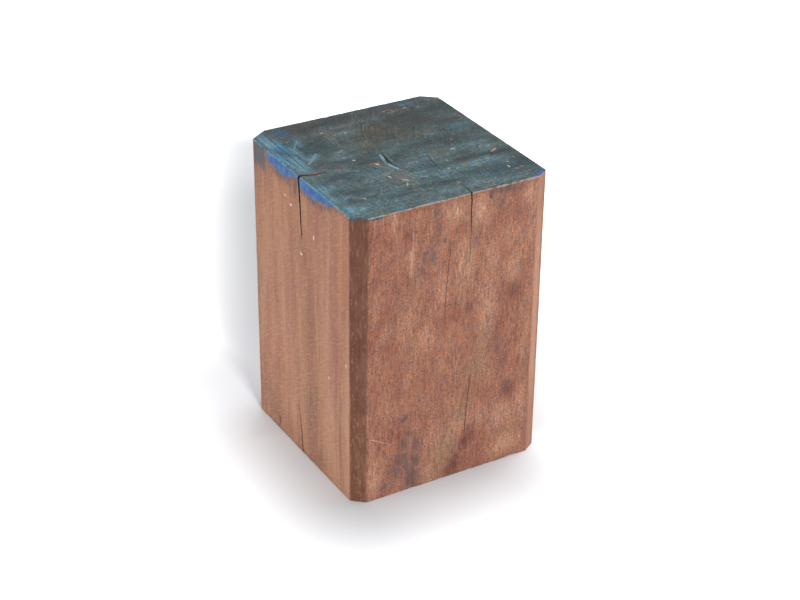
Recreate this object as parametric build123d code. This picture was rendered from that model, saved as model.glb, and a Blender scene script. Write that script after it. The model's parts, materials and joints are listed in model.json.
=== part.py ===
from build123d import *
import os

# Tamper wood block: one piece of dense hardwood with its grain standing upright.
# Four broad faces, with a hand-planed chamfer on each long arris, so the block has eight sides.
# Drying has opened checks in it: they start in the end grain and run a little way along the fibres.
# Handling has bruised the arrises round the two ends.
#
# Millimetres, +Z up along the grain. The origin is the centre of the foot, on what the block stands on.
# The front face looks along -Y and the left face along -X. The head is the end at the top.

# ---------------------------------------------------------------- driving sizes

BLOCK_WIDTH = 150.0  # left face to right face, along X
BLOCK_DEPTH = 154.0  # front face to back face, along Y
BLOCK_HEIGHT = 219.0  # foot to head, along the grain

# Each long arris was planed by hand, so each chamfer has its own sizes at the head: its leg on the
# front or back face, then its leg on the side face. The last value is its size at the foot over
# its size at the head.
FRONT_LEFT_CHAMFER = (10.1, 8.5, 0.88)
FRONT_RIGHT_CHAMFER = (10.4, 6.7, 0.90)
BACK_LEFT_CHAMFER = (12.8, 9.1, 1.16)
BACK_RIGHT_CHAMFER = (10.6, 8.2, 1.00)

LONG_ARRIS_ROUND = 0.5  # wear on the upright edges beside the chamfers
HEAD_ARRIS_ROUND = 0.9  # wear round the head
FOOT_ARRIS_ROUND = 0.8  # wear round the foot

# Split checks open through an arris, and close both inward over the end grain and along the fibres.
# place: where the check leaves its face, from the block's centreline.
# opening: its width at the arris. inward and along: how far it runs each way.
# taper: how soon it narrows along the fibres; 1 is evenly, less is late.
# The wanders are how far it strays sideways, at equal steps inward and at equal steps along.
LEFT_HEAD_CHECK = dict(
    place=0.6,
    opening=2.6,
    inward=20.0,
    along=46.0,
    taper=0.4,
    inward_wander=(0.0, -1.5, -3.4, -3.9, -3.2),
    along_wander=(0.0, -1.0, -1.8, -2.3, -3.0, -3.8),
)
FRONT_HEAD_CHECK = dict(
    place=12.3,
    opening=1.0,
    inward=21.5,
    along=37.0,
    taper=0.8,
    inward_wander=(0.0, 0.8, 1.3, 1.3, 0.9),
    along_wander=(0.0, 0.3, 0.2, 0.6, 0.0),
)
LEFT_FOOT_CHECK = dict(
    place=-0.9,
    opening=1.2,
    inward=14.0,
    along=41.0,
    taper=0.6,
    inward_wander=(0.0, 0.7, 1.0, 1.5, 1.4),
    along_wander=(0.0, 1.0, 2.2, 4.2, 5.9),
)

# Surface checks lie within one face and close at both ends. Each path starts from the datum that
# surface_checks() lays it on, across and up the face as seen from outside.
HEART_CHECK = dict(
    path=((-8.2, 7.0), (-9.6, 0.0), (-11.1, -8.5), (-10.4, -17.0), (-9.0, -25.5)),
    width=0.9,
    depth=14.0,
)
CURVED_CHECK = dict(
    path=((3.6, 54.0), (-1.2, 46.0), (-5.2, 38.0), (-7.2, 29.0)),
    width=0.35,
    depth=4.0,
)
STEPPED_CHECK = dict(
    path=((17.5, 1.2), (22.0, 0.9), (27.0, 0.0), (32.5, -0.6)),
    width=0.45,
    depth=5.0,
)
INNER_CHECK = dict(
    path=((13.4, 36.0), (13.8, 49.0), (15.6, 58.0), (17.8, 66.5)),
    width=0.3,
    depth=3.0,
)
UPPER_FACE_CHECK = dict(
    path=((-2.6, -33.0), (-4.0, -50.0), (-5.5, -66.0), (-6.8, -92.0)),
    width=0.4,
    depth=3.0,
)
LOWER_FACE_CHECK = dict(
    path=((15.2, 79.0), (13.9, 59.0), (12.9, 45.0), (11.6, 22.0)),
    width=0.45,
    depth=3.5,
)
FOOT_EDGE_CHECK = dict(
    path=((-35.4, 12.0), (-35.2, 8.0), (-34.6, 2.6)),
    width=0.5,
    depth=2.5,
)

# Bruises on the end arrises: where the middle of each lies along its arris, its length and its depth.
HEAD_LEFT_BRUISES = ((4.0, 40.0, 0.7), (-38.0, 14.0, 0.35), (49.0, 18.0, 0.4))
HEAD_FRONT_BRUISES = ((-49.0, 12.0, 0.4), (-7.0, 9.0, 0.35), (44.0, 22.0, 0.45))
FOOT_LEFT_BRUISES = ((-5.5, 9.0, 0.5), (-20.0, 16.0, 0.7), (-32.0, 7.0, 0.6))
FOOT_FRONT_BRUISES = ((-30.0, 10.0, 0.4), (52.0, 14.0, 0.5))

CLOSED_WIDTH = 0.06  # a check's width where its two walls meet
CLEAR_OF_FACE = 2.0  # how far each cutter stands out of the wood
STATIONS = 9  # points that a smooth path is drawn through


# ---------------------------------------------------------------- the planed block


def chamfer_plane(x_side, y_side, chamfer):
    """The plane a chamfer is planed to, looking out of the wood. The sides are +1 or -1."""
    leg_on_end, leg_on_side, foot_share = chamfer
    corner_x = x_side * BLOCK_WIDTH / 2
    corner_y = y_side * BLOCK_DEPTH / 2
    head_on_end = Vector(corner_x - x_side * leg_on_end, corner_y, BLOCK_HEIGHT)
    head_on_side = Vector(corner_x, corner_y - y_side * leg_on_side, BLOCK_HEIGHT)
    foot_on_end = Vector(corner_x - x_side * leg_on_end * foot_share, corner_y, 0)
    across = head_on_side - head_on_end
    normal = across.cross(foot_on_end - head_on_end)
    if normal.dot(Vector(x_side, y_side, 0)) < 0:
        normal = -normal
    return Plane(origin=head_on_end, x_dir=across, z_dir=normal)


def planed_block():
    from_foot = (Align.CENTER, Align.CENTER, Align.MIN)
    block = Box(BLOCK_WIDTH, BLOCK_DEPTH, BLOCK_HEIGHT, align=from_foot)
    for x_side, y_side, chamfer in (
        (-1, -1, FRONT_LEFT_CHAMFER),
        (1, -1, FRONT_RIGHT_CHAMFER),
        (-1, 1, BACK_LEFT_CHAMFER),
        (1, 1, BACK_RIGHT_CHAMFER),
    ):
        block = split(block, bisect_by=chamfer_plane(x_side, y_side, chamfer), keep=Keep.BOTTOM)
    return block


def with_worn_arrises(block):
    """The upright edges are rounded first, so that each end then has one smooth loop to round."""
    upright = block.edges().filter_by(lambda edge: abs(edge.tangent_at(0.5).Z) > 0.9)
    block = fillet(upright, LONG_ARRIS_ROUND)
    head = block.faces().sort_by(Axis.Z)[-1]
    block = fillet(head.edges(), HEAD_ARRIS_ROUND)
    foot = block.faces().sort_by(Axis.Z)[0]
    return fillet(foot.edges(), FOOT_ARRIS_ROUND)


# ---------------------------------------------------------------- bruised arrises


def bruise(on_arris, outward, length, depth):
    """A ball that dishes an arris to a depth, over a length of it."""
    radius = (length**2 / 4 + depth**2) / (2 * depth)
    centre = on_arris + outward.normalized() * (radius - depth)
    return Pos(*centre) * Sphere(radius)


def arris_bruises(marks, arris, along, outward, arris_round):
    """The bruises of one arris, each sunk to its depth below the worn edge, not the sharp corner."""
    worn_away = arris_round * (2**0.5 - 1)
    return [
        bruise(arris + along * place, outward, length, depth + worn_away)
        for place, length, depth in marks
    ]


def bruises():
    left = Vector(-BLOCK_WIDTH / 2, 0, 0)
    front = Vector(0, -BLOCK_DEPTH / 2, 0)
    head = Vector(0, 0, BLOCK_HEIGHT)
    across, back = Vector(1, 0, 0), Vector(0, 1, 0)
    return (
        arris_bruises(HEAD_LEFT_BRUISES, left + head, back, Vector(-1, 0, 1), HEAD_ARRIS_ROUND)
        + arris_bruises(HEAD_FRONT_BRUISES, front + head, across, Vector(0, -1, 1), HEAD_ARRIS_ROUND)
        + arris_bruises(FOOT_LEFT_BRUISES, left, back, Vector(-1, 0, -1), FOOT_ARRIS_ROUND)
        + arris_bruises(FOOT_FRONT_BRUISES, front, across, Vector(0, -1, -1), FOOT_ARRIS_ROUND)
    )


# ---------------------------------------------------------------- split checks


def smooth_wander(values):
    """Sideways strays at equal steps, drawn through the given ones by a smooth curve."""
    curve = Spline(*[(step / (len(values) - 1), stray) for step, stray in enumerate(values)])
    return [(curve @ (step / (STATIONS - 1))).Y for step in range(STATIONS)]


def split_section(check, share_along, stray):
    """The gap's outline across the grain, as (sideways, inward) points, at a share of its run."""
    still_open = 1 - share_along
    width = max(check["opening"] * still_open ** check["taper"], CLOSED_WIDTH)
    reach = check["inward"] * max(still_open, 0.02) ** 0.6
    centre = check["place"] + stray
    one_side = [(centre - width / 2, -CLEAR_OF_FACE)]
    other_side = [(centre + width / 2, -CLEAR_OF_FACE)]
    wander = smooth_wander(check["inward_wander"])
    for step in range(STATIONS - 1):
        share_in = step / (STATIONS - 1)
        middle = centre + still_open * wander[step]
        half = width / 2 * (1 - share_in) ** 0.7
        one_side.append((middle - half, reach * share_in))
        other_side.append((middle + half, reach * share_in))
    tip = (centre + still_open * wander[-1], reach)
    return one_side + [tip] + other_side[::-1]


def split_check(check, from_face, from_end):
    """The wedge of air in a check that opens through an arris.

    from_face turns (sideways, inward) into (x, y), and from_end turns a run along the fibres into z.
    """
    strays = smooth_wander(check["along_wander"])
    runs = [(-CLEAR_OF_FACE, 0.0, 0.0)]
    for step, stray in enumerate(strays):
        share = step / (STATIONS - 1)
        runs.append((check["along"] * share, share, stray))
    sections = []
    for run, share, stray in runs:
        outline = [from_face(*point) for point in split_section(check, share, stray)]
        sections.append(Wire.make_polygon([(x, y, from_end(run)) for x, y in outline], close=True))
    return Solid.make_loft(sections, ruled=True)


def through_left(sideways, inward):
    return (inward - BLOCK_WIDTH / 2, sideways)


def through_front(sideways, inward):
    return (sideways, inward - BLOCK_DEPTH / 2)


def down_from_head(run):
    return BLOCK_HEIGHT - run


def up_from_foot(run):
    return run


def split_checks():
    return [
        split_check(LEFT_HEAD_CHECK, through_left, down_from_head),
        split_check(FRONT_HEAD_CHECK, through_front, down_from_head),
        split_check(LEFT_FOOT_CHECK, through_left, up_from_foot),
    ]


# ---------------------------------------------------------------- surface checks


def lens(path, width):
    """An outline down one side of a smooth path and back up the other, widest half way."""
    curve = Spline(*path)
    one_side, other_side = [], []
    for step in range(1, STATIONS - 1):
        share = step / (STATIONS - 1)
        run = curve % share
        half = Vector(-run.Y, run.X) * width / 2 * (1 - (2 * share - 1) ** 2)
        one_side.append(curve @ share + half)
        other_side.append(curve @ share - half)
    return [curve @ 0] + one_side + [curve @ 1] + other_side[::-1]


def surface_check(check, datum):
    """The thin wedge of air in a check within one face. The datum plane looks out of the wood."""
    wires = []
    for height, width in (
        (CLEAR_OF_FACE, check["width"]),
        (0, check["width"]),
        (-check["depth"], CLOSED_WIDTH),
    ):
        raised = Vector(0, 0, height)
        outline = [datum.from_local_coords(point + raised) for point in lens(check["path"], width)]
        wires.append(Wire.make_polygon(outline, close=True))
    return Solid.make_loft(wires, ruled=True)


def surface_checks():
    left, front = -BLOCK_WIDTH / 2, -BLOCK_DEPTH / 2
    head = Plane(origin=(0, 0, BLOCK_HEIGHT), x_dir=(1, 0, 0), z_dir=(0, 0, 1))
    head_from_left = Plane(origin=(left, 0, BLOCK_HEIGHT), x_dir=(1, 0, 0), z_dir=(0, 0, 1))
    head_from_front = Plane(origin=(0, front, BLOCK_HEIGHT), x_dir=(1, 0, 0), z_dir=(0, 0, 1))
    front_from_head = Plane(origin=(0, front, BLOCK_HEIGHT), x_dir=(1, 0, 0), z_dir=(0, -1, 0))
    front_from_foot = Plane(origin=(0, front, 0), x_dir=(1, 0, 0), z_dir=(0, -1, 0))
    left_from_foot = Plane(origin=(left, 0, 0), x_dir=(0, -1, 0), z_dir=(-1, 0, 0))
    return [
        surface_check(HEART_CHECK, head),
        surface_check(CURVED_CHECK, head),
        surface_check(STEPPED_CHECK, head_from_left),
        surface_check(INNER_CHECK, head_from_front),
        surface_check(UPPER_FACE_CHECK, front_from_head),
        surface_check(LOWER_FACE_CHECK, front_from_foot),
        surface_check(FOOT_EDGE_CHECK, left_from_foot),
    ]


# ---------------------------------------------------------------- output


def wood_block():
    block = with_worn_arrises(planed_block())
    for hollow in bruises() + split_checks() + surface_checks():
        block = block - hollow
    return block


os.makedirs("parts", exist_ok=True)
export_step(wood_block(), "parts/wood_block.step")
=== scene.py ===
import bpy
import bmesh
import json
import numpy as np
from mathutils import Matrix, Vector
from mathutils.geometry import delaunay_2d_cdt

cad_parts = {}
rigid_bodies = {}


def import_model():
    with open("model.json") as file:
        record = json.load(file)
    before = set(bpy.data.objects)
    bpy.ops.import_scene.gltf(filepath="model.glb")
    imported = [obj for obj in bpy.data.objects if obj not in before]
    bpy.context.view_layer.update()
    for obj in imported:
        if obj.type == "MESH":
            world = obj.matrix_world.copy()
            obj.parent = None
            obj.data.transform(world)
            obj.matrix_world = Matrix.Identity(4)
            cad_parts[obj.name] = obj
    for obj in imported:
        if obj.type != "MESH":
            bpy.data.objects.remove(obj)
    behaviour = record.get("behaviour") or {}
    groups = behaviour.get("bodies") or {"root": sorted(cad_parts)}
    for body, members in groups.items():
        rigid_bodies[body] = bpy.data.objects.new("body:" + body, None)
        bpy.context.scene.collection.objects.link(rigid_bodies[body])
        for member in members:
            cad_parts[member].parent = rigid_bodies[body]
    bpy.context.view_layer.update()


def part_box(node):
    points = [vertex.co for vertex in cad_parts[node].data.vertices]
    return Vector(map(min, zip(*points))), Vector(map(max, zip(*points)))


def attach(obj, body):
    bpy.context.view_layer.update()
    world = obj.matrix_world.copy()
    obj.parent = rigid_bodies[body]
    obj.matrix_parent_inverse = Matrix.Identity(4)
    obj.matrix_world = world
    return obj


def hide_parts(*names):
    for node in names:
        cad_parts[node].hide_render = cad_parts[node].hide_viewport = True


# Tamper wood block, dressed. Sizes are in millimetres here and become metres when a mesh is made.
# The front face looks along -Y, the left face along -X, and the painted head is at the top.

MM = 0.001

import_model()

low, high = (np.array(corner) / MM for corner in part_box("wood_block"))
HALF_X = (high[0] - low[0]) / 2
HALF_Y = (high[1] - low[1]) / 2
HEIGHT = high[2]


# ---------------------------------------------------------------- numbers with a smooth random look


def lattice(cells, seed):
    """A repeatable random number from 0 to 1 for each whole-number cell. Large odd factors mix its bits."""
    n = (
        cells[..., 0].astype(np.int64) * 374761393
        + cells[..., 1].astype(np.int64) * 668265263
        + cells[..., 2].astype(np.int64) * 2147483647
        + seed * 1274126177
    )
    n = (n ^ (n >> 13)) * 1103515245 & 0xFFFFFFFF
    n = (n ^ (n >> 16)) * 2246822519 & 0xFFFFFFFF
    return ((n ^ (n >> 15)) & 0xFFFFFF) / float(0xFFFFFF)


def noise(points, size, seed):
    """Smooth noise from 0 to 1. size is a cell's size in millimetres, along X, Y and Z."""
    p = points / np.array(size, float)
    cell = np.floor(p)
    t = p - cell
    t = t * t * (3 - 2 * t)
    total = 0
    for corner in np.ndindex(2, 2, 2):
        corner = np.array(corner)
        weight = np.prod(np.where(corner, t, 1 - t), axis=-1)
        total = total + weight * lattice(cell + corner, seed)
    return total


def fractal(points, size, seed, octaves=3):
    """Noise with finer and fainter noise added to it, from 0 to 1."""
    size = np.array(size, float)
    total, height, full = 0, 1.0, 0
    for octave in range(octaves):
        total = total + height * noise(points, size, seed + octave)
        full += height
        size, height = size / 2.03, height * 0.5
    return total / full


def step(low_edge, high_edge, values):
    """A smooth rise from 0 to 1 between two edges."""
    t = np.clip((values - low_edge) / (high_edge - low_edge), 0, 1)
    return t * t * (3 - 2 * t)


# ---------------------------------------------------------------- the block's planes

# Chamfers, at the head: leg on the front or back face, leg on the side face, size at foot over head.
CHAMFERS = {
    (-1, -1): (10.1, 8.5, 0.88),
    (1, -1): (10.4, 6.7, 0.9),
    (1, 1): (10.6, 8.2, 1.0),
    (-1, 1): (12.8, 9.1, 1.16),
}


def corner_points(corner, share):
    """Where a chamfer meets the front or back face, and where it meets the side face."""
    x_side, y_side = corner
    leg_x, leg_y, _ = CHAMFERS[corner]
    x, y = x_side * HALF_X, y_side * HALF_Y
    return (x - x_side * leg_x * share, y), (x, y - y_side * leg_y * share)


def outline(share_of):
    """The eight corners of the section, anticlockwise from the front's left end."""
    order = ((-1, -1), (1, -1), (1, 1), (-1, 1))
    front_left, front_right, back_right, back_left = (corner_points(c, share_of(c)) for c in order)
    return np.array(
        [
            front_left[0],
            front_right[0],
            front_right[1],
            back_right[1],
            back_right[0],
            back_left[0],
            back_left[1],
            front_left[1],
        ]
    )


HEAD_OUTLINE = outline(lambda corner: 1.0)
FOOT_OUTLINE = outline(lambda corner: CHAMFERS[corner][2])
FACES = ("front", "front_right", "right", "back_right", "back", "back_left", "left", "front_left")


def planes():
    """Outward normals and distances: the eight sides in FACES' order, then the head and the foot."""
    normals, offsets = [], []
    for i in range(8):
        a = np.array([*HEAD_OUTLINE[i], HEIGHT])
        b = np.array([*HEAD_OUTLINE[(i + 1) % 8], HEIGHT])
        c = np.array([*FOOT_OUTLINE[i], 0.0])
        normal = np.cross(b - a, a - c)
        normal /= np.linalg.norm(normal)
        normals.append(normal)
        offsets.append(normal @ a)
    normals += [np.array([0, 0, 1.0]), np.array([0, 0, -1.0])]
    offsets += [HEIGHT, 0.0]
    return np.array(normals), np.array(offsets)


NORMALS, OFFSETS = planes()


# ---------------------------------------------------------------- a mesh over the sharp block

EDGE_ROWS = (0.0, 0.35, 0.8, 1.4, 2.3)  # rows beside an arris, which is rounded and chipped later
SIDE_PITCH = 1.3
LEVEL_PITCH = 2.2
END_PITCH = 1.6
SCATTER = 0.2  # how far an end's points stray, as a share of their pitch


def graded(length, pitch):
    """Places along a length, close together at both ends."""
    rows = np.array([row for row in EDGE_ROWS if row < length * 0.4])
    inner = length - 2 * rows[-1]
    count = max(int(round(inner / pitch)), 1)
    middle = rows[-1] + inner * np.arange(1, count) / count
    return np.concatenate([rows, middle, length - rows[::-1]])


def ring_shares():
    """(side, share along it) for each point round the block. A side's last point is the next one's first."""
    ring = []
    for i in range(8):
        length = np.linalg.norm(HEAD_OUTLINE[(i + 1) % 8] - HEAD_OUTLINE[i])
        ring += [(i, place / length) for place in graded(length, SIDE_PITCH)[:-1]]
    return ring


def ring_at(ring, height):
    """The (x, y) of each point round the block, at a height."""
    shape = HEAD_OUTLINE * height / HEIGHT + FOOT_OUTLINE * (1 - height / HEIGHT)
    return np.array([shape[i] * (1 - t) + shape[(i + 1) % 8] * t for i, t in ring])


def depth_inside(flat, shape):
    """How far each (x, y) lies inside the eight-sided outline."""
    sides = np.roll(shape, -1, 0) - shape
    outward = np.column_stack([sides[:, 1], -sides[:, 0]]) / np.linalg.norm(sides, axis=1)[:, None]
    return ((shape * outward).sum(1) - flat @ outward.T).min(1)


def cap(ring_points, shape, seed):
    """Triangles over an end: loops that follow its outline near the arris, then scattered points."""
    toward_centre = -ring_points / np.linalg.norm(ring_points, axis=1)[:, None]
    points = [ring_points]
    for row in EDGE_ROWS[1:]:
        loop = ring_points.copy()
        # a few moves settle it at its depth
        for _ in range(8):
            loop += toward_centre * (row - depth_inside(loop, shape))[:, None]
        points.append(loop)
    pitch_y = END_PITCH * 3**0.5 / 2
    xs = np.arange(-HALF_X, HALF_X, END_PITCH)
    ys = np.arange(-HALF_Y, HALF_Y, pitch_y)
    grid = np.array([(x + (j % 2) * END_PITCH / 2, y) for j, y in enumerate(ys) for x in xs])
    grid += np.random.default_rng(seed).uniform(-SCATTER, SCATTER, grid.shape) * END_PITCH
    points.append(grid[depth_inside(grid, shape) > EDGE_ROWS[-1] + END_PITCH * 0.7])
    count = len(ring_points)
    loops = range(1, len(EDGE_ROWS))
    edges = [(k * count + i, k * count + (i + 1) % count) for k in loops for i in range(count)]
    flat = [Vector(p) for p in np.concatenate(points)]
    result = delaunay_2d_cdt(flat, edges, [list(range(count))], 1, 1e-6)
    return np.array([tuple(v) for v in result[0]]), result[2], result[3]


def sharp_block():
    """The block with sharp arrises, as one fine closed mesh: rings up the sides, and a cap at each end."""
    ring = ring_shares()
    count = len(ring)
    levels = graded(HEIGHT, LEVEL_PITCH)
    verts = [np.column_stack([ring_at(ring, z), np.full(count, z)]) for z in levels]
    faces = []
    for k in range(len(levels) - 1):
        for i in range(count):
            j = (i + 1) % count
            faces.append((k * count + i, k * count + j, (k + 1) * count + j, (k + 1) * count + i))
    total = len(levels) * count
    for seed, z, first in ((1, HEIGHT, (len(levels) - 1) * count), (2, 0.0, 0)):
        at_head = z > 0
        flat, triangles, origin = cap(ring_at(ring, z), HEAD_OUTLINE if at_head else FOOT_OUTLINE, seed)
        index, extra = {}, []
        for new, old in enumerate(origin):
            on_ring = [k for k in old if k < count]
            if on_ring:
                index[new] = first + on_ring[0]
            else:
                index[new] = total + len(extra)
                extra.append((*flat[new], z))
        for triangle in triangles:
            triangle = [index[k] for k in triangle]
            faces.append(tuple(triangle if at_head else triangle[::-1]))
        verts.append(np.array(extra))
        total += len(extra)
    # the ends' extra points come after the rings
    rings = np.concatenate(verts[: len(levels)])
    ends = np.concatenate(verts[len(levels) :])
    return np.concatenate([rings, ends]), faces


# ---------------------------------------------------------------- wear: the block rounded, waved and chipped

# Bruises as in the source: the middle's place along the arris, the length and the depth.
BRUISES = (
    ((-1, 0, 1), ((4.0, 40.0, 0.7), (-38.0, 14.0, 0.35), (49.0, 18.0, 0.4))),
    ((0, -1, 1), ((-49.0, 12.0, 0.4), (-7.0, 9.0, 0.35), (44.0, 22.0, 0.45))),
    ((-1, 0, -1), ((-5.5, 9.0, 0.5), (-20.0, 16.0, 0.7), (-32.0, 7.0, 0.6))),
    ((0, -1, -1), ((-30.0, 10.0, 0.4), (52.0, 14.0, 0.5))),
)
ARRIS_WEAR = 0.37  # how far the plain rounding draws an arris in
PROBE = 0.01  # a short step, to feel which way the surface slopes


def bruise_balls():
    """(centre, radius) of the ball that presses each bruise in."""
    balls = []
    for side, marks in BRUISES:
        side = np.array(side, float)
        arris = np.array([side[0] * HALF_X, side[1] * HALF_Y, HEIGHT if side[2] > 0 else 0.0])
        along = np.array([abs(side[1]), abs(side[0]), 0.0])
        outward = side / np.linalg.norm(side)
        for place, length, depth in marks:
            depth += ARRIS_WEAR
            radius = (length**2 / 4 + depth**2) / (2 * depth)
            balls.append((arris + along * place + outward * (radius - depth), radius))
    return balls


BALLS = bruise_balls()


def smooth_max(a, b, blend):
    """The larger of two distances, rounded over where they are nearly equal."""
    near = np.clip(1 - np.abs(a - b) / blend, 0, None)
    return np.maximum(a, b) + near * near * blend / 4


def outside(points, sunk, blend):
    """How far a point lies outside the worn block, roughly. sunk is how far each face is worn back."""
    gaps = points @ NORMALS.T - OFFSETS + sunk
    order = np.sort(gaps, axis=1)
    worn = smooth_max(order[:, -1], order[:, -2], blend)
    for centre, radius in BALLS:
        worn = np.maximum(worn, radius - np.linalg.norm(points - centre, axis=1))
    return worn


# How far a face is worn back: slow waves and torn fibres on the sides, and waves and pits at the ends.
WAVE, TEAR = 0.16, 0.75
PLANED_SHARE = 0.35  # how much of the tearing a planed face has
END_WAVE, PIT = 0.18, 0.3
# How soft an arris is: at least, how much that varies, and how much more in a chip, then near an end.
SOFT, SOFT_VARIES, CHIP, CHIP_NEAR_END = 0.5, 0.35, 2.5, 3.0


def wear(points):
    """How far each face is worn back at each point, and how soft its nearest arris is."""
    sunk = np.zeros((len(points), 10))
    for k in range(10):
        if k < 8:
            # sawn and planed sides: slow waves, and fibres torn out along the grain
            waves = fractal(points, (28, 28, 60), 11 + k, 2)
            tears = np.clip(fractal(points, (1.9, 1.9, 13), 31 + k, 2) - 0.6, 0, 1)
            rough = 1.0 if FACES[k] in ("front", "back") else PLANED_SHARE
            sunk[:, k] = WAVE * waves + rough * TEAR * tears
        else:
            # end grain: rays and pores under the paint
            waves = fractal(points, (24, 24, 24), 51 + k, 3)
            pits = np.clip(noise(points, (1.8, 3.4, 2), 61 + k) - 0.62, 0, 1)
            sunk[:, k] = END_WAVE * waves + PIT * pits
    near_end = step(5.0, 1.5, np.minimum(points[:, 2], HEIGHT - points[:, 2]))
    chips = np.clip(fractal(points, (3.2, 3.2, 6.5), 71, 3) - 0.6, 0, 1)
    blend = SOFT + SOFT_VARIES * noise(points, (9, 9, 14), 81) + (CHIP + CHIP_NEAR_END * near_end) * chips
    return sunk, blend


def worn(points):
    """Draws the points on to the worn block's surface in a few moves, each down its own slope."""
    sunk, blend = wear(points)
    points = points.copy()
    for _ in range(4):
        here = outside(points, sunk, blend)
        slope = np.zeros_like(points)
        for axis in range(3):
            moved = points.copy()
            moved[:, axis] += PROBE
            slope[:, axis] = (outside(moved, sunk, blend) - here) / PROBE
        points -= slope * (here / np.maximum((slope**2).sum(1), 0.3))[:, None]
    return points


def make_object(name, points, faces):
    """A piece of the scene, from points in millimetres."""
    mesh = bpy.data.meshes.new(name)
    mesh.from_pydata((np.asarray(points) * MM).tolist(), [], faces)
    mesh.validate()
    piece = bpy.data.objects.new(name, mesh)
    bpy.context.scene.collection.objects.link(piece)
    return piece


# ---------------------------------------------------------------- drying checks

# As in the source. Split checks open through an arris: face, end, place, opening, inward, along, taper,
# and how far they stray sideways at equal steps inward and at equal steps along the fibres.
SPLITS = (
    ("left", "head", 0.6, 2.6, 20, 46, 0.4, (0, -1.5, -3.4, -3.9, -3.2), (0, -1, -1.8, -2.3, -3, -3.8)),
    ("front", "head", 12.3, 1, 21.5, 37, 0.8, (0, 0.8, 1.3, 1.3, 0.9), (0, 0.3, 0.2, 0.6, 0)),
    ("left", "foot", -0.9, 1.2, 14, 41, 0.6, (0, 0.7, 1, 1.5, 1.4), (0, 1, 2.2, 4.2, 5.9)),
)
# Surface checks: face, datum, path, width, depth.
SURFACE_CHECKS = (
    ("head", (0, 0), ((-8.2, 7.0), (-9.6, 0.0), (-11.1, -8.5), (-10.4, -17.0), (-9.0, -25.5)), 0.9, 14.0),
    ("head", (0, 0), ((3.6, 54.0), (-1.2, 46.0), (-5.2, 38.0), (-7.2, 29.0)), 0.35, 4.0),
    ("head", (-HALF_X, 0), ((17.5, 1.2), (22.0, 0.9), (27.0, 0.0), (32.5, -0.6)), 0.45, 5.0),
    ("head", (0, -HALF_Y), ((13.4, 36.0), (13.8, 49.0), (15.6, 58.0), (17.8, 66.5)), 0.3, 3.0),
    ("front", (0, HEIGHT), ((-2.6, -33.0), (-4.0, -50.0), (-5.5, -66.0), (-6.8, -92.0)), 0.4, 3.0),
    ("front", (0, 0), ((15.2, 79.0), (13.9, 59.0), (12.9, 45.0), (11.6, 22.0)), 0.45, 3.5),
    ("left", (0, 0), ((-35.4, 12.0), (-35.2, 8.0), (-34.6, 2.6)), 0.5, 2.5),
)
CLEAR = 2.0  # how far a cut reaches out of the wood
CLOSED = 0.06  # the least opening
WELD = 0.002  # points nearer than this become one
SLIVER = 0.001  # edges shorter than this go
SPLIT_LEVELS, SPLIT_STEPS = 26, 12  # points along the fibres and inward
CHECK_STEPS, CHECK_LEVELS = 26, 6  # points along the path and down
# How far the walls stray at random, and how their opening varies from one torn fibre to the next.
ALONG_JITTER, INWARD_JITTER, PATH_JITTER = 0.28, 0.35, 0.22
SPLIT_TORN, CHECK_TORN = (0.78, 1.12), (0.65, 1.15)


def curve_through(values, places):
    """A smooth curve through evenly spaced values (Catmull-Rom), read at places from 0 to 1."""
    values = np.array(values, float)
    if values.ndim == 1:
        values = values[:, None]
    padded = np.vstack([2 * values[0] - values[1], values, 2 * values[-1] - values[-2]])
    at = np.clip(np.asarray(places, float), 0, 1) * (len(values) - 1)
    k = np.minimum(at.astype(int), len(values) - 2)
    t = (at - k)[:, None]
    a, b, c, d = (padded[k + i] for i in range(4))
    return 0.5 * (2 * b + (c - a) * t + (2 * a - 5 * b + 4 * c - d) * t**2 + (3 * b - a - 3 * c + d) * t**3)


def jitter(count, seed, size):
    """A row of small random steps aside, softened a little."""
    rough = np.random.default_rng(seed).uniform(-1, 1, count)
    return size * np.convolve(np.pad(rough, 1, mode="edge"), (0.25, 0.5, 0.25), mode="valid")


def split_fin(seed, face, end, place, opening, inward, along, taper, inward_wander, along_wander):
    """Grids of points on the two walls of a split, [level][step]."""
    # each point is worked out as (sideways, inward, run along the fibres), and placed on its face last;
    # the powers below crowd the steps near the arris, and make the split narrow late
    levels, steps = SPLIT_LEVELS, SPLIT_STEPS
    shares_in = np.linspace(0, 1, steps) ** 1.15
    walls = ([], [])
    strays = curve_through(along_wander, np.linspace(0, 1, levels))[:, 0] + jitter(levels, seed, ALONG_JITTER)
    wander = curve_through(inward_wander, shares_in)[:, 0]
    wander = wander + jitter(steps, seed + 1, INWARD_JITTER) * (shares_in > 0.05)
    tears = np.random.default_rng(seed + 2).uniform(*SPLIT_TORN, (2, levels, steps))
    for k in range(-1, levels):
        level = max(k, 0)
        share = level / (levels - 1)
        still_open = 1 - share
        run = -CLEAR if k < 0 else along * share
        width = max(opening * still_open**taper, CLOSED)
        reach = inward * max(still_open, 0.02) ** 0.6
        centre = place + strays[level] - strays[0]
        for side, wall in zip((-1, 1), walls):
            torn = tears[(side + 1) // 2, level]
            half = np.maximum(width / 2 * (1 - shares_in) ** 0.7 * torn, 0.01)
            across = centre + still_open * (wander - wander[0]) + side * half
            wall.append(
                [(centre + side * half[0], -CLEAR, run)]
                + [(across[i], reach * shares_in[i], run) for i in range(steps)]
            )
    walls = [np.array(wall) for wall in walls]

    def placed(wall):
        sideways, inwards, run = wall[..., 0], wall[..., 1], wall[..., 2]
        z = HEIGHT - run if end == "head" else run
        if face == "left":
            return np.stack([inwards - HALF_X, sideways, z], -1)
        return np.stack([sideways, inwards - HALF_Y, z], -1)

    return [placed(wall) for wall in walls]


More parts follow.
